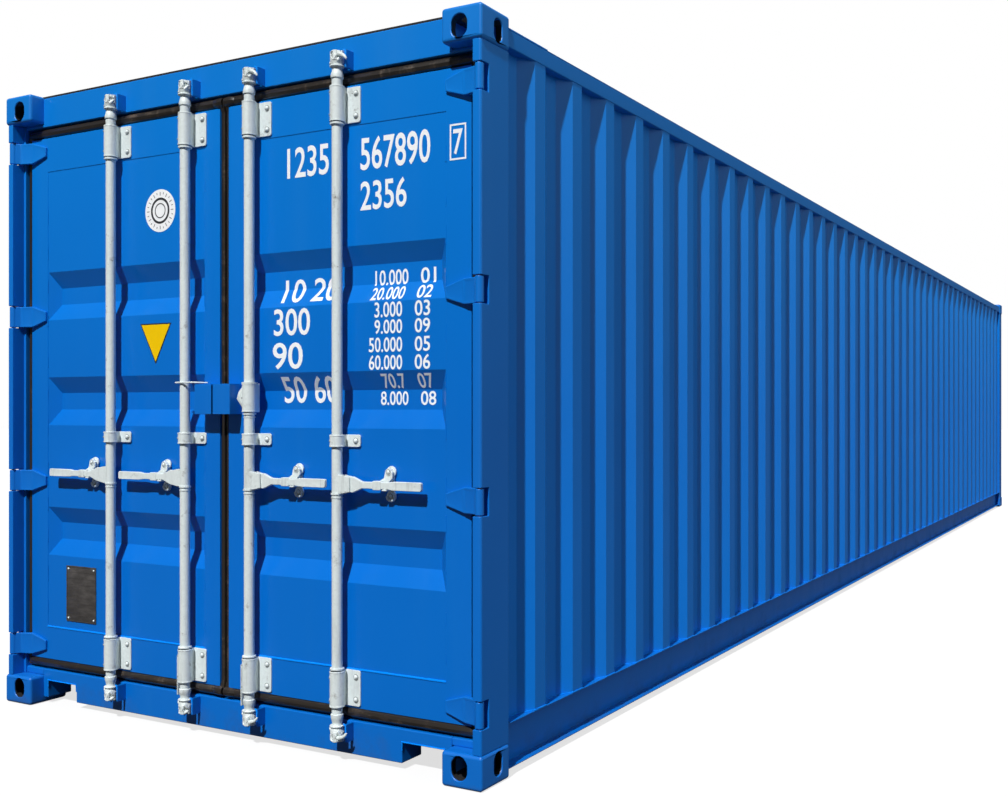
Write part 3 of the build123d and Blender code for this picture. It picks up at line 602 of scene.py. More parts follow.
def closed_up(shape):
    """Joins doubled corners and turns every face outwards."""
    bmesh.ops.remove_doubles(shape, verts=shape.verts, dist=1e-6)
    bmesh.ops.recalc_face_normals(shape, faces=shape.faces)


def cut_at(shape, place, across):
    """Cuts a shape's faces along a plane."""
    bmesh.ops.bisect_plane(
        shape, geom=shape.verts[:] + shape.edges[:] + shape.faces[:], plane_co=place, plane_no=across)


def block(shape, low, high):
    """Adds a box between two corners."""
    low, high = Vector(low), Vector(high)
    place = Matrix.Translation((low + high) / 2) @ Matrix.Diagonal((*(high - low), 1))
    bmesh.ops.create_cube(shape, size=1.0, matrix=place)


def border(shape, rectangle, line, back, front):
    """Adds four strips along the inside of an upright rectangle."""
    left, right, low, high = rectangle
    for y0, y1, z0, z1 in (
            (left, right, high - line, high), (left, right, low, low + line),
            (left, left + line, low + line, high - line),
            (right - line, right, low + line, high - line)):
        block(shape, (back, y0, z0), (front, y1, z1))


def slab(shape, outline, thick):
    """Adds an upright outline, given a thickness towards +X."""
    face = shape.faces.new([shape.verts.new(point) for point in outline])
    made = bmesh.ops.extrude_face_region(shape, geom=[face])["geom"]
    bmesh.ops.translate(shape, vec=(thick, 0, 0),
                        verts=[one for one in made if isinstance(one, bmesh.types.BMVert)])


# How far a piece that is added sinks into what it sits on
TOUCH = 0.001
# Sides of a bead, and how fast its thickness wanders along it
BEAD_SIDES = 6
BEAD_GRAIN = 60.0


def bead_mesh(runs, radius, wobble=0.25, step=0.012):
    """A weld or sealant bead along straight runs, a little uneven."""
    shape = bmesh.new()
    for run in runs:
        for start, end in zip(run, run[1:]):
            start, end = Vector(start), Vector(end)
            count = max(1, int((end - start).length / step))
            turn = (end - start).to_track_quat("Z", "Y").to_matrix().to_4x4()
            rings = []
            for index in range(count + 1):
                centre = start.lerp(end, index / count)
                size = radius * (1 + wobble * noise.noise(centre * BEAD_GRAIN))
                rings.append(bmesh.ops.create_circle(
                    shape, cap_ends=index in (0, count), segments=BEAD_SIDES, radius=size,
                    matrix=Matrix.Translation(centre) @ turn)["verts"])
            for first, last in zip(rings, rings[1:]):
                for corner in range(BEAD_SIDES):
                    after = (corner + 1) % BEAD_SIDES
                    shape.faces.new((first[corner], first[after], last[after], last[corner]))
    bmesh.ops.recalc_face_normals(shape, faces=shape.faces)
    return shape


# From a casting's box: where its hollow starts, how wide its edges are, and what still is on a face
HOLLOW_DEPTH = 0.012
EDGE_WIDTH = 0.0095
ON_FACE = 0.0005


class CONTAINER_OT_castings(bpy.types.Operator):
    """Round the corner castings' edges and the rims of their holes, and paint their hollows dark as shade."""

    bl_idname = "container.castings"
    bl_label = "Corner Castings"

    def execute(self, context):
        for node in ("bottom_corner_castings", "top_corner_castings"):
            boxes = solids_of(node)
            shape = merged(node)
            rounded(shape, self.edges_of(shape, boxes)[1], sizes().hole_round, 3)
            rounded(shape, self.edges_of(shape, boxes)[0], sizes().casting_round, 4)
            # Faces deep inside a casting get the black: painted shade in its hollows
            for face in shape.faces:
                if self.depths(face.calc_center_median(), boxes)[0] > HOLLOW_DEPTH:
                    face.material_index = 1
            piece = stands_for(node, shape)
            piece.data.materials.append(finish_for("castings_painted_shade"))
        return {"FINISHED"}

    def depths(self, place, boxes):
        """How deep a place lies inside its casting's box along each axis, the least first."""
        low, high = next(
            (low, high) for low, high in boxes
            if all(low[axis] - TOUCH < place[axis] < high[axis] + TOUCH for axis in range(3)))
        return sorted(min(place[axis] - low[axis], high[axis] - place[axis]) for axis in range(3))

    def edges_of(self, shape, boxes):
        """Sorts the sharp edges into those of the outer box and those of the holes' rims."""
        outer, rims = [], []
        for edge in creased(shape, 30):
            depth = self.depths((edge.verts[0].co + edge.verts[1].co) / 2, boxes)
            if depth[0] < ON_FACE:
                (outer if depth[1] < EDGE_WIDTH else rims).append(edge)
        return outer, rims


# Width and steps of the rounded edges of the steelwork
STEEL_ROUNDS = (
    (0.0022, 2, ("right_door_post", "left_door_post")),
    (0.004, 3, ("right_front_post", "left_front_post", "door_header", "door_sill", "sill_ends",
                "front_top_rail", "front_bottom_rail", "top_side_rails")),
    (0.0015, 2, ("bottom_side_rails", "cam_keepers")),
    (0.0012, 2, ("roof_corner_plates",)))

# The fork pockets, which are open at the sill's foot
POCKET_LEG = 0.029
POCKET_WIDTH = 0.180
POCKET_HEIGHT = 0.075
LIP_DROP = 0.030

# The dark strip on top of the header, painted shade along its top edge
SHADE_STRIP_INSET = 0.012
SHADE_STRIP_RISE = 0.0076


class CONTAINER_OT_posts_and_rails(bpy.types.Operator):
    """Round the edges of the posts, rails, header and sill, and add a dark strip of painted shade and lips
    painted light as highlights.
    """

    bl_idname = "container.posts_and_rails"
    bl_label = "Posts and Rails"

    def execute(self, context):
        for width, segments, nodes in STEEL_ROUNDS:
            for node in nodes:
                dressed(node, width, segments)
        low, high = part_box("door_header")
        # A dark strip along the header's top: painted shade
        strip = bmesh.new()
        block(strip, (high.x - SHADE_STRIP_INSET, low.y + SHADE_STRIP_INSET, high.z - TOUCH),
              (high.x - 0.002, high.y - SHADE_STRIP_INSET, high.z + SHADE_STRIP_RISE))
        added("header_top_painted_shade", strip, "frame", "dark_film_and_shade")
        self.lips()
        return {"FINISHED"}

    def lips(self):
        """Lips on the keepers' outer lugs and on the pockets in the sill, painted lighter blue as highlights.
        """
        lips = bmesh.new()
        for low, high in solids_of("cam_keepers"):
            x, y = high.x - TOUCH, high.y - 0.0035
            tube(lips, [
                ((x, y, low.z + 0.004), 0.0026), ((x, y, high.z - 0.010), 0.0032),
                ((x, y - 0.003, high.z - 0.003), 0.0034), ((x, y - 0.010, high.z), 0.0032)], facets=2)
        low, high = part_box("door_sill")
        x = high.x - 0.0005
        outer = high.y - POCKET_LEG
        inner, top = outer - POCKET_WIDTH, low.z + POCKET_HEIGHT
        for side in (1, -1):
            tube(lips, [
                ((x, side * outer, top - LIP_DROP), 0.0022), ((x, side * outer, top), 0.0036),
                ((x, side * inner, top), 0.0036), ((x, side * inner, top - LIP_DROP), 0.0022)], facets=2)
        closed_up(lips)
        # The lips take the lighter blue, a painted highlight
        added("lips_painted_highlight", lips, "frame", "painted_highlight")


# The sealant along a wall's foot, and how near a corner of the wall is to a face that it is on
FOOT_BEAD = 0.0035
SAME_PLACE = 0.0003


class CONTAINER_OT_walls(bpy.types.Operator):
    """Give the walls, roof, floor and underframe their finishes, and seal the walls' feet."""

    bl_idname = "container.walls"
    bl_label = "Walls, Roof and Floor"

    def execute(self, context):
        for node in ("right_side_wall", "left_side_wall", "front_wall", "roof", "floor",
                     "cross_members", "gooseneck_tunnel", "hinge_pins"):
            repaint(node)
        for side, sign in (("right", 1), ("left", -1)):
            node = side + "_side_wall"
            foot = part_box(node)[0].z + TOUCH
            run = [(x, y + sign * TOUCH, foot) for x, y in self.foot_line(node, sign)]
            bead = bead_mesh([run], FOOT_BEAD, wobble=0.3, step=0.05)
            added(side + "_foot_bead", bead, "frame", slot_of[node])
        return {"FINISHED"}

    def foot_line(self, node, sign):
        """The wall's outer outline at its foot, from its own vertices."""
        low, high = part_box(node)
        outside = high.y if sign > 0 else -low.y
        places = [vert.co for vert in frame["nodes"][node].data.vertices]
        valley = sorted({round(sign * place.y, 5) for place in places})[1]
        return sorted({
            (round(place.x, 5), round(place.y, 5)) for place in places
            if place.z < low.z + TOUCH
            and min(abs(sign * place.y - outside), abs(sign * place.y - valley)) < SAME_PLACE})


# The short welds up the sides of a door's panel
WELD_DEPTH = 0.0012
STITCH = 0.05
STITCH_PITCH = 0.15


class CONTAINER_OT_doors(bpy.types.Operator):
    """Round the door frames' edges, and add the welds round their panels."""

    bl_idname = "container.doors"
    bl_label = "Door Leaves"

    def execute(self, context):
        for side in ("right", "left"):
            dressed(side + "_door_frame", 0.0012)
            repaint(side + "_door_panel")
            self.welds(side)
        return {"FINISHED"}

    def welds(self, side):
        """A bead along the panel's foot, painted lighter as a highlight, and stitches up its sides."""
        low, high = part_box(side + "_door_panel")
        # The foot bead takes the lighter blue, a painted highlight
        foot = bead_mesh([[(door_face - TOUCH, low.y, low.z), (door_face - TOUCH, high.y, low.z)]],
                         sizes().bead * 1.5, wobble=0.15)
        added(side + "_panel_foot_weld", foot, side + "_door", "painted_highlight")
        stitches = []
        for y in (low.y, high.y):
            x, z = door_face - WELD_DEPTH, low.z + 0.06
            while z < high.z - 0.1:
                length = STITCH + 0.03 * noise.noise((y * 9, z * 7, 0.3))
                stitches.append([(x, y, z), (x, y, z + length)])
                z += STITCH_PITCH + 0.05 * noise.noise((y * 5, z * 11, 1.7))
        added(side + "_panel_side_welds", bead_mesh(stitches, sizes().bead, wobble=0.5),
              side + "_door", "door_paint")


# The seals' bulbs: how far in from each side of the seal they run, their bends and radii
SEAL_FROM_FRONT = 0.007
SEAL_FROM_MIDDLE = 0.0095
SEAL_FROM_POST = 0.013
SEAL_FROM_END = 0.021
SEAL_BEND = 0.022
SEAL_FLAT, SEAL_EDGE, SEAL_MIDDLE = 0.0195, 0.0115, 0.0085


class CONTAINER_OT_seals(bpy.types.Operator):
    """Add the round bulbs of the rubber seals round the door leaves."""

    bl_idname = "container.seals"
    bl_label = "Door Seals"

    def execute(self, context):
        for side, sign in (("right", 1), ("left", -1)):
            node = side + "_door_seal"
            dressed(node, 0.005, 3)
            low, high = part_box(node)
            x = high.x - SEAL_FROM_FRONT
            inner, outer = (low.y, high.y) if sign > 0 else (high.y, low.y)
            inner += sign * SEAL_FROM_MIDDLE
            outer -= sign * SEAL_FROM_POST
            bottom, top = low.z + SEAL_FROM_END, high.z - SEAL_FROM_END
            bulbs = bmesh.new()
            self.ring(bulbs, x, (inner, outer), (bottom, top), sign)
            for level, way in ((bottom, 1), (top, -1)):
                tube(bulbs, [
                    ((x + 0.004, inner, level - way * 0.015), 0.0115),
                    ((x + 0.006, inner, level), 0.0125),
                    ((x + 0.003, inner, level + way * 0.024), 0.0110),
                    ((x, inner, level + way * 0.040), SEAL_MIDDLE)])
                tube(bulbs, [
                    ((x + 0.007, inner - sign * 0.008, level), 0.0185),
                    ((x + 0.007, inner + sign * 0.014, level), SEAL_FLAT),
                    ((x + 0.006, inner + sign * 0.030, level), 0.0180),
                    ((x + 0.002, inner + sign * 0.042, level), 0.0160)])
            closed_up(bulbs)
            added(side + "_seal_bulbs", bulbs, body_of(node), slot_of[node])
        return {"FINISHED"}

    def ring(self, shape, x, across, levels, sign):
        """One bulb all round a door: thick along the top and bottom, thin up the sides."""
        (inner, outer), (bottom, top) = across, levels
        path = []
        for y, z, along, up, radii in (
                (inner, bottom, sign, 1, (SEAL_MIDDLE, SEAL_FLAT)),
                (outer, bottom, -sign, 1, (SEAL_FLAT, SEAL_EDGE)),
                (outer, top, -sign, -1, (SEAL_EDGE, SEAL_FLAT)),
                (inner, top, sign, -1, (SEAL_FLAT, SEAL_MIDDLE))):
            upright = Vector((x, y, z + up * SEAL_BEND))
            level = Vector((x, y + along * SEAL_BEND, z))
            ends = (upright, level) if (y == inner) == (z == bottom) else (level, upright)
            path += bend_path(ends[0], Vector((x, y, z)), ends[1], radii)
        tube(shape, path, closed=True)


# A hinge blade's rounded edges, and the rim and the sunk face inside it: width and depth
BLADE_ROUND = 0.003
BLADE_INSETS = ((0.006, 0.0), (0.002, -0.0018))


class CONTAINER_OT_hinges(bpy.types.Operator):
    """Round the forged hinge blades and sink their broad faces."""

    bl_idname = "container.hinges"
    bl_label = "Hinges"

    def execute(self, context):
        for side in ("right", "left"):
            node = side + "_hinge_blades"
            shape = merged(node)
            rounded(shape, creased(shape, 30.0), BLADE_ROUND, 3)
            shape.normal_update()
            faces = [face for face in shape.faces if face.normal.x > 0.9 and face.calc_area() > 0.003]
            for thickness, depth in BLADE_INSETS:
                bmesh.ops.inset_individual(
                    shape, faces=faces, thickness=thickness, depth=depth, use_even_offset=True)
            stands_for(node, shape)
        return {"FINISHED"}


# Bar guides: sleeve and plate, the heights that tell a clamp, the bolts' places, and the rims
GUIDE_SLEEVE = 0.128
GUIDE_PLATE = 0.006
CLAMP_HEIGHTS = (0.08, 0.12)
BOLT_FROM_END = 0.024
CLAMP_BOLT = 0.013
PLATE_BOLT = 0.019
PLATE_CORNER = 0.009
SLEEVE_RADIUS = 0.026
SLEEVE_RIM = 0.007
BAR_RADIUS = 0.019


def is_clamp(low, high):
    """Whether a bar guide is the clamp beside the lock box, from its height."""
    return CLAMP_HEIGHTS[0] < high.z - low.z < CLAMP_HEIGHTS[1]


class CONTAINER_OT_guides(bpy.types.Operator):
    """Round the bar guides, and add their rims, bolts and rivets."""

    bl_idname = "container.guides"
    bl_label = "Bar Guides"

    def execute(self, context):
        for side in ("right", "left"):
            self.plates(side + "_bar_guides")
            zinc, dark = bmesh.new(), bmesh.new()
            for low, high in solids_of(side + "_bar_guides"):
                self.fittings(zinc, dark, low, high)
            closed_up(zinc)
            added(side + "_guide_fittings", zinc, side + "_door", "galvanised")
            added(side + "_guide_washers", dark, side + "_door", "zinc_grime_and_shade")
        return {"FINISHED"}

    def plates(self, node):
        """Rounds the plates' free corners, then every other edge a little."""
        shape = merged(node)
        corners = []
        for edge in creased(shape, 60.0):
            first, last = edge.verts
            middle = (first.co + last.co) / 2
            along = (last.co - first.co).normalized()
            reach = abs(middle.y - nearest_bar(middle.y).y)
            if abs(along.x) > 0.99 and reach > 0.049 and middle.x < door_face + GUIDE_PLATE + 0.001:
                corners.append(edge)
        rounded(shape, corners, PLATE_CORNER, 4)
        rounded(shape, creased(shape, 40.0), 0.0012, 2)
        stands_for(node, shape)

    def fittings(self, zinc, dark, low, high):
        """Bolts, rims and rivets of one guide."""
        tall = high.z - low.z > CLAMP_HEIGHTS[1]
        bar = nearest_bar((low.y + high.y) / 2)
        bottom = high.z - GUIDE_SLEEVE if tall else low.z
        plate = door_face + GUIDE_PLATE
        bolt_y = low.y + CLAMP_BOLT if is_clamp(low, high) else high.y - PLATE_BOLT
        heights = ((bottom + high.z) / 2,)
        if tall:
            heights = (high.z - BOLT_FROM_END, bottom + BOLT_FROM_END)
        for z in heights:
            # Dark washers under the bolt heads: painted shade round them
            washer(dark, (plate + 0.0008, bolt_y, z), sizes().bolt * 1.35, 0.0026)
            domed(zinc, (plate + 0.0015, bolt_y, z), sizes().bolt, 0.0065)
        for start, end in ((high.z - SLEEVE_RIM, high.z), (bottom, bottom + SLEEVE_RIM)):
            self.rim(zinc, bar, start, end, SLEEVE_RADIUS + 0.0009)
        if tall:
            free_end = bottom - 0.011 if high.z > 2.0 else high.z + 0.003
            self.rim(zinc, bar, free_end, free_end + 0.008, SLEEVE_RADIUS - 0.0006)
        for z in heights:
            for turn, radius, shape in ((0.62, 0.0036, dark), (1.42, 0.0058, zinc)):
                spot = (bar.x + SLEEVE_RADIUS * cos(turn), bar.y - SLEEVE_RADIUS * sin(turn), z)
                bmesh.ops.create_uvsphere(
                    shape, u_segments=10, v_segments=6, radius=radius, matrix=Matrix.Translation(spot))

    def rim(self, shape, bar, start, end, radius):
        """A ring at the end of a sleeve."""
        ring_round(shape, (bar.x, bar.y, start), BAR_RADIUS + 0.0008, radius, end - start, 0.0016)


# Lumps and claw of a cam: places from the bar's end, with z towards its middle, and radii
SPURS = (
    (((0.002, -0.010, 0.024), 0.0085), ((0.006, -0.018, 0.019), 0.0070),
     ((0.004, -0.022, 0.010), 0.0048), ((0.002, -0.0245, 0.002), 0.0026)),
    (((0.010, 0.004, 0.007), 0.0075), ((0.012, 0.015, 0.006), 0.0068),
     ((0.008, 0.0205, 0.009), 0.0055), ((0.004, 0.0240, 0.015), 0.0030)),
    (((0.012, 0.008, 0.036), 0.0075), ((0.015, 0.016, 0.034), 0.0066),
     ((0.010, 0.0215, 0.027), 0.0050), ((0.006, 0.0240, 0.020), 0.0028)),
    (((0.010, -0.014, 0.040), 0.0060), ((0.012, -0.020, 0.041), 0.0052),
     ((0.010, -0.0235, 0.044), 0.0036)))
CLAW = (
    ((0.008, 0.004, 0.016), 0.0085), ((0.0165, 0.024, 0.015), 0.0075),
    ((0.0175, 0.042, 0.022), 0.0065), ((0.0170, 0.052, 0.031), 0.0050),
    ((0.0165, 0.056, 0.037), 0.0030))
EYE_RADIUS = 0.0095


class CONTAINER_OT_bars(bpy.types.Operator):
    """Round the locking bars, and add the cams' spurs and collars."""

    bl_idname = "container.bars"
    bl_label = "Locking Bars"

    def execute(self, context):
        for bar, joint in bar_joints.items():
            node = bar + "_bar"
            dressed(node, 0.0012, 2, 35.0)
            low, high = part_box(node)
            zinc, dark = bmesh.new(), bmesh.new()
            for end, way in ((high.z, -1), (low.z, 1)):
                self.cam(zinc, dark, Vector((joint.x, joint.y, end)), way)
            hub_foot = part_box(bar + "_handle")[0].z - 0.010
            for level, height, radius in ((hub_foot, 0.006, 0.0222), (hub_foot - 0.012, 0.004, 0.0208)):
                ring_round(zinc, (joint.x, joint.y, level), BAR_RADIUS - 0.001, radius, height)
            closed_up(zinc)
            added(bar + "_cam_spurs", zinc, body_of(node), "galvanised")
            added(bar + "_cam_eye_shade", dark, body_of(node), "zinc_grime_and_shade")
        return {"FINISHED"}

    def cam(self, zinc, dark, end, way):
        """Spurs, collars and eye of the cam at one end of a bar. Only the right door's have a claw."""
        spurs = SPURS + (CLAW,) if end.y > 0 else SPURS
        for spur in spurs:
            tube(zinc, [(end + Vector((x, y, way * z)), radius) for (x, y, z), radius in spur])
        for depth, height, radius in ((0.050, 0.006, 0.0262), (0.0, 0.005, 0.0235)):
            start = end.z + way * depth - (height if way < 0 else 0)
            ring_round(zinc, (end.x, end.y, start), 0.012, radius, height, 0.0015)
        eye = end + Vector((0.0225, 0.003, way * 0.022))
        # A dark disc in the eye: painted shade in its hollow
        washer(dark, eye, 0.0085, 0.004)
        turns = [pi * step / 6 for step in range(12)]
        tube(zinc, [(eye + Vector((0.001, cos(turn) * EYE_RADIUS, sin(turn) * EYE_RADIUS)), 0.0024)
                    for turn in turns], closed=True, facets=2)


# Where a grip's flats start from its bar, and the catches' eyes: place, upper and lower bolt, lip
GRIP_START = 0.262
EYE_FROM_EDGE = 0.020
EYE_STANDS = (0.024, 0.010)
EYE_LIP = 0.0165


class CONTAINER_OT_handles(bpy.types.Operator):
    """Round the handles, sink the flats of their grips and finish their catches."""

    bl_idname = "container.handles"
    bl_label = "Handles and Catches"

    def execute(self, context):
        for bar, joint in bar_joints.items():
            self.handle(bar + "_handle", joint)
        for side in ("right", "left"):
            dressed(side + "_handle_catches", 0.002, 2, 40.0)
            self.eyes(side)
        return {"FINISHED"}

    def handle(self, node, joint):
        """Rounds a handle and sinks the flats of its grip."""
        shape = merged(node)
        way = 1 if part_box(node)[1].y > joint.y + 0.3 else -1
        cut_at(shape, (0, joint.y + way * GRIP_START, 0), (0, 1, 0))
        rounded(shape, creased(shape, 30.0), 0.0025, 3)
        shape.normal_update()
        flats = [face for face in shape.faces
                 if face.normal.x > 0.95 and abs(face.calc_center_median().y - joint.y) > GRIP_START
                 and face.calc_area() > 0.001]
        bmesh.ops.inset_region(shape, faces=flats, thickness=0.0035, depth=-0.0012, use_even_offset=True)
        stands_for(node, shape)

    def eyes(self, side):
        """Bolts in the catches' eyes, and the lip of the lower one."""
        zinc, dark = bmesh.new(), bmesh.new()
        for low, high in solids_of(side + "_handle_catches"):
            y, foot = high.y - EYE_FROM_EDGE, low.z + EYE_FROM_EDGE
            for z, stand in zip((high.z - EYE_FROM_EDGE, foot), EYE_STANDS):
                washer(zinc, (door_face + stand / 2, y, z), sizes().bolt * 1.5, stand)
                # A thin dark disc under each bolt: painted shade round its head
                washer(dark, (door_face + stand, y, z), sizes().bolt * 1.2, 0.0012)
                domed(zinc, (door_face + stand, y, z), sizes().bolt * 0.85, 0.0040)
            tube(zinc, [
                ((door_face + 0.0105, y + EYE_LIP * cos(turn), foot + EYE_LIP * sin(turn)), 0.0036)
                for turn in (pi + pi * step / 10 for step in range(11))], facets=2)
        added(side + "_catch_bolts", zinc, side + "_door", "galvanised")
        added(side + "_catch_washers", dark, side + "_door", "zinc_grime_and_shade")


class CONTAINER_OT_lock_box(bpy.types.Operator):
    """Finish the two halves of the lock box, its top rod and the clamp beside it."""

    bl_idname = "container.lock_box"
    bl_label = "Lock Box"

    def execute(self, context):
        for side in ("right", "left"):
            node = side + "_lock_box"
            dressed(node, 0.002, 3)
            low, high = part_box(node)
            rim = bmesh.new()
            block(rim, (low.x + 0.004, low.y + 0.0005, high.z - 0.001),
                  (high.x - 0.0005, high.y - 0.0005, high.z + 0.003))
            rounded(rim, rim.edges[:], 0.0012, 2)
            added(side + "_lock_box_rim", rim, side + "_door", "door_paint")
        zinc = bmesh.new()
        low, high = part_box("left_lock_box")
        bar = bar_joints["left_inner"]
        rod_x, rod_z = bar.x + BAR_RADIUS + 0.0042, high.z + 0.010
        tube(zinc, [
            ((rod_x, bar.y - 0.027, rod_z), 0.0026), ((rod_x, bar.y - 0.022, rod_z), 0.0034),
            ((rod_x, bar.y + 0.022, rod_z), 0.0034), ((rod_x - 0.002, bar.y + 0.060, rod_z), 0.0034),
            ((rod_x - 0.010, low.y + 0.060, rod_z - 0.002), 0.0022)])
        closed_up(zinc)
        added("lock_box_rod", zinc, "left_door", "galvanised")
        self.clamp()
        return {"FINISHED"}

    def clamp(self):
        """Cap, knob and rings on the clamp that holds the right inner bar."""
        bar = bar_joints["right_inner"]
        low, high = next(box for box in solids_of("right_bar_guides") if is_clamp(*box))
        zinc = bmesh.new()
        for start, height, radius in (
                (high.z - 0.001, 0.006, 0.0290), (low.z - 0.009, 0.006, 0.0245),
                (low.z - 0.020, 0.004, 0.0225)):
            ring_round(zinc, (bar.x - 0.002, bar.y, start), BAR_RADIUS + 0.0028, radius, height)
        middle = (low.z + high.z) / 2
        tube(zinc, [
            ((bar.x, bar.y - 0.016, high.z - 0.012), 0.011),
            ((bar.x + 0.004, bar.y - 0.030, middle + 0.018), 0.015),
            ((bar.x + 0.004, bar.y - 0.036, middle - 0.002), 0.017),
            ((bar.x, bar.y - 0.024, middle - 0.026), 0.013),
            ((bar.x - 0.002, bar.y - 0.016, low.z + 0.008), 0.009)])
        closed_up(zinc)
        added("clamp_fittings", zinc, "right_door", "galvanised")


# Figures on the right door: text, then its lowest and highest y and z, in metres
FIGURES = (
    ("1235", 0.318, 0.517, 2.106, 2.219), ("567890", 0.662, 0.966, 2.102, 2.219),
    ("7", 1.062, 1.101, 2.116, 2.202), ("2356", 0.662, 0.865, 1.960, 2.064),
    ("10 20", 0.278, 0.541, 1.649, 1.738), ("300", 0.252, 0.428, 1.527, 1.627),
    ("90", 0.247, 0.393, 1.403, 1.502), ("50 60", 0.272, 0.531, 1.278, 1.377))
# Rows of small figures: text, its lowest y, the two figures after it, lowest and highest z
ROWS = (
    ("10.000", 0.700, "01", 1.694, 1.749), ("20.000", 0.700, "02", 1.640, 1.687),
    ("3.000", 0.725, "03", 1.578, 1.632), ("9.000", 0.725, "09", 1.520, 1.570),
    ("50.000", 0.700, "05", 1.456, 1.508), ("60.000", 0.700, "06", 1.394, 1.446),
    ("70.7", 0.745, "07", 1.329, 1.381), ("8.000", 0.725, "08", 1.270, 1.319))
ROW_END = 0.846
AFTER_ROW = (0.900, 0.965)
BOXED = (1.048, 1.115, 2.098, 2.220)
BOX_LINE = 0.006
STROKE_SPREAD = 0.012

# The round mark, the triangle and the plate on the left door
MARK_CENTRE = (-0.351, 2.046)
MARK_RADIUS = 0.085
MARK_RINGS = ((0.052, 0.043), (0.030, 0.026))
TICKS = 24
TICK_STARTS = (0.060, 0.066)
TICK_END = 0.074
TICK_HALF_WIDTH = 0.0012
TRIANGLE = (-0.465, -0.289, 1.435, 1.598)
PLATE = (-0.911, -0.728, 0.364, 0.597)
PLATE_ROWS = 9
PLATE_RIM = 0.006
RIVET_FROM_EDGE = 0.013


class CONTAINER_OT_markings(bpy.types.Operator):
    """Paint plain figures, a ring, a triangle and a blank plate on the doors."""

    bl_idname = "container.markings"
    bl_label = "Markings"

    def execute(self, context):
        self.surface = {side: self.door_surface(side) for side in ("left", "right")}
        figures = bmesh.new()
        for text, *place in FIGURES:
            self.add_text(figures, text, *place)
        for text, left, after, low, high in ROWS:
            self.add_text(figures, text, left, ROW_END, low, high)
            self.add_text(figures, after, *AFTER_ROW, low, high)
        border(figures, BOXED, BOX_LINE, 0, sizes().lettering_lift)
        self.lay_on(figures, "right")
        added("painted_numbers", figures, "right_door", "figures")
        self.ring_mark()
        self.triangle_mark()
        self.blank_plate()
        return {"FINISHED"}

    def door_surface(self, side):
        """A tree of the door's front faces, to lay the markings on."""
        both = bmesh.new()
        for part in ("_door_frame", "_door_panel"):
            both.from_mesh(frame["nodes"][side + part].data)
        tree = BVHTree.FromBMesh(both)
        both.free()
        return tree

    def lay_on(self, shape, side):
        """Cuts a flat marking at the pressings' bends and lays it on the door's surface."""
        levels = sorted({round(vert.co.z, 4) for vert in frame["nodes"][side + "_door_panel"].data.vertices})
        for level in levels:
            cut_at(shape, (0, 0, level), (0, 0, 1))
        for vert in shape.verts:
            start = Vector((cad_box[1][0] + 0.1, vert.co.y, vert.co.z))
            hit = self.surface[side].ray_cast(start, Vector((-1, 0, 0)))[0]
            vert.co.x += hit.x + 0.0002

    def add_text(self, shape, text, left, right, low, high):
        """Adds figures that fill a rectangle, facing +X."""
        curve = bpy.data.curves.new("figures", "FONT")
        curve.body = text
        curve.extrude = 0.5
        curve.offset = STROKE_SPREAD
        curve.resolution_u = 4
        mesh = meshed(curve)
        xs = [vert.co.x for vert in mesh.vertices]
        ys = [vert.co.y for vert in mesh.vertices]
        across = (right - left) / (max(xs) - min(xs))
        up = (high - low) / (max(ys) - min(ys))
        lift = sizes().lettering_lift
        for vert in mesh.vertices:
            x, y, z = vert.co
            vert.co = ((z + 0.5) * lift, left + (x - min(xs)) * across, low + (y - min(ys)) * up)
        shape.from_mesh(mesh)
        bpy.data.meshes.remove(mesh)

    def disc(self, shape, radius, inner, depth, steps=48):
        """A flat ring or disc about the mark's centre, facing +X."""
        outline = [(radius, 0.0), (radius, depth), (inner, depth), (inner, 0.0)]
        if inner == 0.0:
            outline = [(0.0, 0.0), (radius, 0.0), (radius, depth), (0.0, depth)]
        ring = bmesh.new()
        turned(ring, Vector((0, 0, 0)), outline, steps)
        closed_up(ring)
        turn = Matrix.Translation((0, *MARK_CENTRE)) @ Matrix.Rotation(pi / 2, 4, "Y")
        bmesh.ops.transform(ring, matrix=turn, verts=ring.verts)
        mesh = bpy.data.meshes.new("ring")
        ring.to_mesh(mesh)
        ring.free()
        shape.from_mesh(mesh)
        bpy.data.meshes.remove(mesh)

    def ring_mark(self):
        """A white disc with two dark rings and ticks."""
        lift = sizes().lettering_lift
        white = bmesh.new()
        self.disc(white, MARK_RADIUS, 0.0, lift)
        self.lay_on(white, "left")
        added("round_mark", white, "left_door", "figures")
        dark = bmesh.new()
        for outer, inner in MARK_RINGS:
            self.disc(dark, outer, inner, 2 * lift)
        for index in range(TICKS):
            angle = 2 * pi * index / TICKS
            ends = [Vector((0, cos(angle), sin(angle))) * radius
                    for radius in (TICK_STARTS[index % 2], TICK_END)]
            side_way = Vector((0, -sin(angle), cos(angle))) * TICK_HALF_WIDTH
            centre = Vector((0, *MARK_CENTRE))
            slab(dark, [centre + ends[0] + side_way, centre + ends[1] + side_way,
                        centre + ends[1] - side_way, centre + ends[0] - side_way], 2 * lift)
        bmesh.ops.recalc_face_normals(dark, faces=dark.faces)
        self.lay_on(dark, "left")
        added("round_mark_lines", dark, "left_door", "dark_film_and_shade")

    def triangle_mark(self):
        """A yellow triangle that points down, with a dark edge."""
        left, right, low, high = TRIANGLE
        lift = sizes().lettering_lift
        for name, finish, inset, thick in (("triangle_edge", "dark_film_and_shade", 0.0, lift),
                                           ("triangle_mark", "yellow_film", 0.005, 2 * lift)):
            shape = bmesh.new()
            slab(shape, [
                (0, left + 1.6 * inset, high - inset), (0, (left + right) / 2, low + 2.2 * inset),
                (0, right - 1.6 * inset, high - inset)], thick)
            bmesh.ops.recalc_face_normals(shape, faces=shape.faces)
            self.lay_on(shape, "left")
            added(name, shape, "left_door", finish)

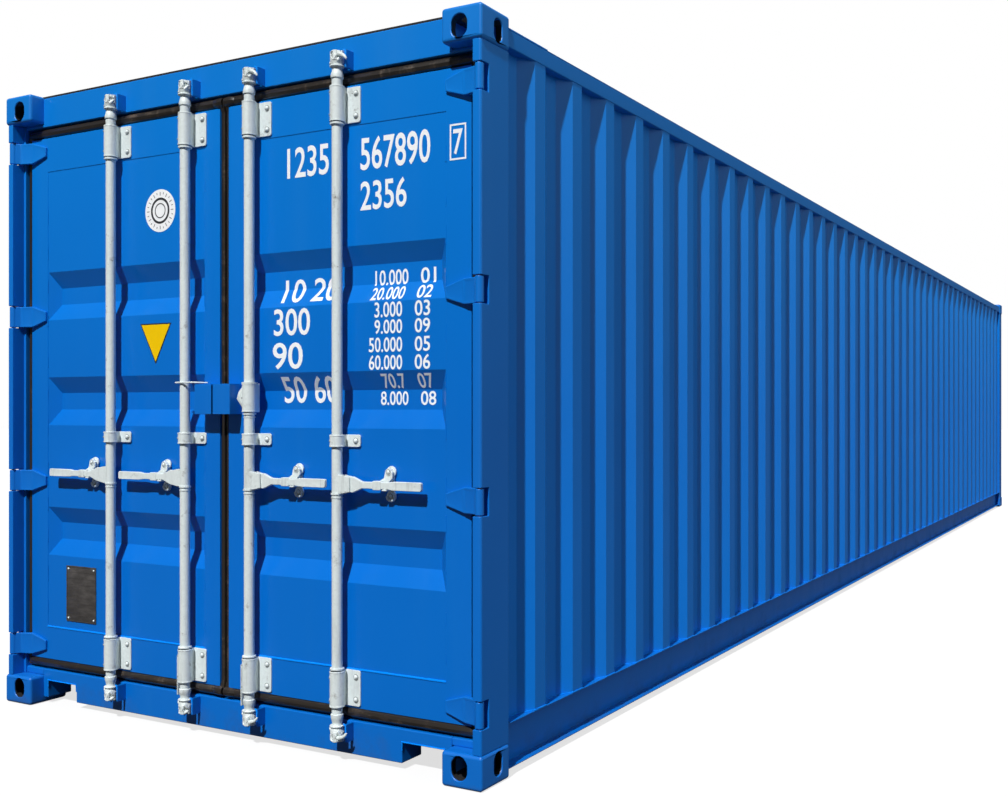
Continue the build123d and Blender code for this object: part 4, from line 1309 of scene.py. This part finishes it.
    def blank_plate(self):
        """A dark plate with a rim, blank rows and rivets."""
        left, right, low, high = PLATE
        base = door_face - 0.002
        shape = bmesh.new()
        block(shape, (base, left, low), (base + 0.0025, right, high))
        rounded(shape, shape.edges[:], 0.0008, 2)
        border(shape, PLATE, PLATE_RIM, base + 0.002, base + 0.0035)
        for row in range(1, PLATE_ROWS):
            z = low + row * ((high - low) / PLATE_ROWS)
            block(shape, (base + 0.002, left + 0.012, z - 0.0008), (base + 0.0031, right - 0.012, z + 0.0008))
        added("blank_plate", shape, "left_door", "etched_plate")
        rivets = bmesh.new()
        for y in (left + RIVET_FROM_EDGE, right - RIVET_FROM_EDGE):
            for z in (low + RIVET_FROM_EDGE, high - RIVET_FROM_EDGE):
                domed(rivets, (base + 0.003, y, z), 0.0045, 0.003)
        added("plate_rivets", rivets, "left_door", "galvanised")


# The camera, as seen in a picture of this many pixels
PICTURE = (1008, 796)
CAMERA_PLACE = (9.137, 3.224, 1.258)
CAMERA_TURN = 28.07
FOCAL_PIXELS = 1111.0
MIDDLE_PIXEL = (585.0, 408.5)
SENSOR = 36.0
SIGHT = 200

# Lamps, and what the world and the floor give to the camera and to other rays
SUN_FROM = (0.640, 0.100, 0.762)
SUN_STRENGTH = 4.0
SUN_SPREAD = 1.5
SIDE_FROM = (-0.42, 0.80, 0.42)
SIDE_STRENGTH = 0.85
FILL_FROM = (-0.62, -0.66, 0.42)
FILL_STRENGTH = 1.6
FILL_SPREAD = 60.0
AMBIENT = 0.05
SHINE = 0.05
FLOOR_GLOW = 0.72
FLOOR_SEEN = 0.27
FLOOR_BOUNCE = 0.08
FLOOR_REACH = 60
SKY = (0.86, 0.92, 1.0, 1)


class CONTAINER_OT_stage(bpy.types.Operator):
    """Set up the pale floor, the lamps and the camera."""

    bl_idname = "container.stage"
    bl_label = "Stage"

    def execute(self, context):
        scene = context.scene
        scene.view_settings.view_transform = "Standard"
        self.pale_world(scene)
        self.pale_floor()
        self.lamp("sun", SUN_FROM, SUN_STRENGTH, SUN_SPREAD)
        self.lamp("side", SIDE_FROM, SIDE_STRENGTH, FILL_SPREAD)
        self.lamp("fill", FILL_FROM, FILL_STRENGTH, FILL_SPREAD)
        camera = bpy.data.objects.new("camera", bpy.data.cameras.new("camera"))
        scene.collection.objects.link(camera)
        camera.location = CAMERA_PLACE
        camera.rotation_euler = (pi / 2, 0, radians(90 + CAMERA_TURN))
        camera.data.sensor_width = SENSOR
        camera.data.lens = FOCAL_PIXELS * SENSOR / PICTURE[0]
        camera.data.shift_x = (PICTURE[0] / 2 - MIDDLE_PIXEL[0]) / PICTURE[0]
        camera.data.shift_y = (MIDDLE_PIXEL[1] - PICTURE[1] / 2) / PICTURE[0]
        camera.data.clip_end = SIGHT
        scene.camera = camera
        return {"FINISHED"}

    def pale_world(self, scene):
        """White for the camera, dim for everything else."""
        world = bpy.data.worlds.new("studio")
        scene.world = world
        world.use_nodes = True
        sky = Nodes(world.node_tree)
        white = sky.tree.nodes["Background"]
        white.inputs["Color"].default_value = (1, 1, 1, 1)
        light = sky.node("ShaderNodeBackground", values={
            "Color": SKY, "Strength": sky.rays("Glossy") * SHINE + AMBIENT})
        mix = sky.node("ShaderNodeMixShader", values={
            0: sky.rays("Camera"), 1: light, 2: Wire(sky.tree, white.outputs[0])})
        sky.tree.links.new(mix.socket, sky.tree.nodes["World Output"].inputs[0])

    def pale_floor(self):
        """A sheet that the camera sees as white, and that keeps the shadow."""
        shape = bmesh.new()
        bmesh.ops.create_grid(shape, x_segments=1, y_segments=1, size=FLOOR_REACH)
        mesh = bpy.data.meshes.new("floor_sheet")
        shape.to_mesh(mesh)
        shape.free()
        sheet = bpy.data.objects.new("floor_sheet", mesh)
        bpy.context.scene.collection.objects.link(sheet)
        floor = Finish("pale_floor", 0.9, specular=0.0)
        seen = floor.rays("Camera")
        floor.feed(base_color=floor.mixed(seen, (FLOOR_BOUNCE,) * 3, (FLOOR_SEEN,) * 3),
                   emission_color=floor.mixed(seen, (0, 0, 0), (FLOOR_GLOW,) * 3))
        floor.shader.inputs["Emission Strength"].default_value = 1.0
        mesh.materials.append(floor.material)

    def lamp(self, name, direction, strength, spread):
        """A sun lamp. The broad ones don't show in glossy paint."""
        data = bpy.data.lights.new(name, "SUN")
        data.energy = strength
        data.angle = radians(spread)
        lamp = bpy.data.objects.new(name, data)
        lamp.visible_glossy = spread < FILL_SPREAD
        lamp.rotation_euler = Vector(direction).to_track_quat("Z", "Y").to_euler()
        bpy.context.scene.collection.objects.link(lamp)


OPERATORS = (
    CONTAINER_OT_castings, CONTAINER_OT_posts_and_rails, CONTAINER_OT_walls, CONTAINER_OT_doors,
    CONTAINER_OT_seals, CONTAINER_OT_hinges, CONTAINER_OT_guides, CONTAINER_OT_bars,
    CONTAINER_OT_handles, CONTAINER_OT_lock_box, CONTAINER_OT_markings, CONTAINER_OT_stage)


class CONTAINER_PT_panel(bpy.types.Panel):
    """Lists the container's sizes, colours and pieces."""

    bl_label = "Freight Container"
    bl_idname = "CONTAINER_PT_panel"
    bl_space_type = "VIEW_3D"
    bl_region_type = "UI"
    bl_category = "Container"

    def draw(self, context):
        for group in (context.scene.container_sizes, context.scene.container_colours):
            for key in group.__annotations__:
                self.layout.prop(group, key)
        for operator in OPERATORS:
            self.layout.operator(operator.bl_idname)


CLASSES = (ContainerSizes, ContainerColours, *OPERATORS, CONTAINER_PT_panel)


def register():
    for one in CLASSES:
        bpy.utils.register_class(one)
    bpy.types.Scene.container_sizes = bpy.props.PointerProperty(type=ContainerSizes)
    bpy.types.Scene.container_colours = bpy.props.PointerProperty(type=ContainerColours)


def unregister():
    del bpy.types.Scene.container_colours
    del bpy.types.Scene.container_sizes
    for one in reversed(CLASSES):
        bpy.utils.unregister_class(one)


def main():
    register()
    for operator in OPERATORS:
        group, name = operator.bl_idname.split(".")
        getattr(getattr(bpy.ops, group), name)()


if __name__ == "__main__":
    main()
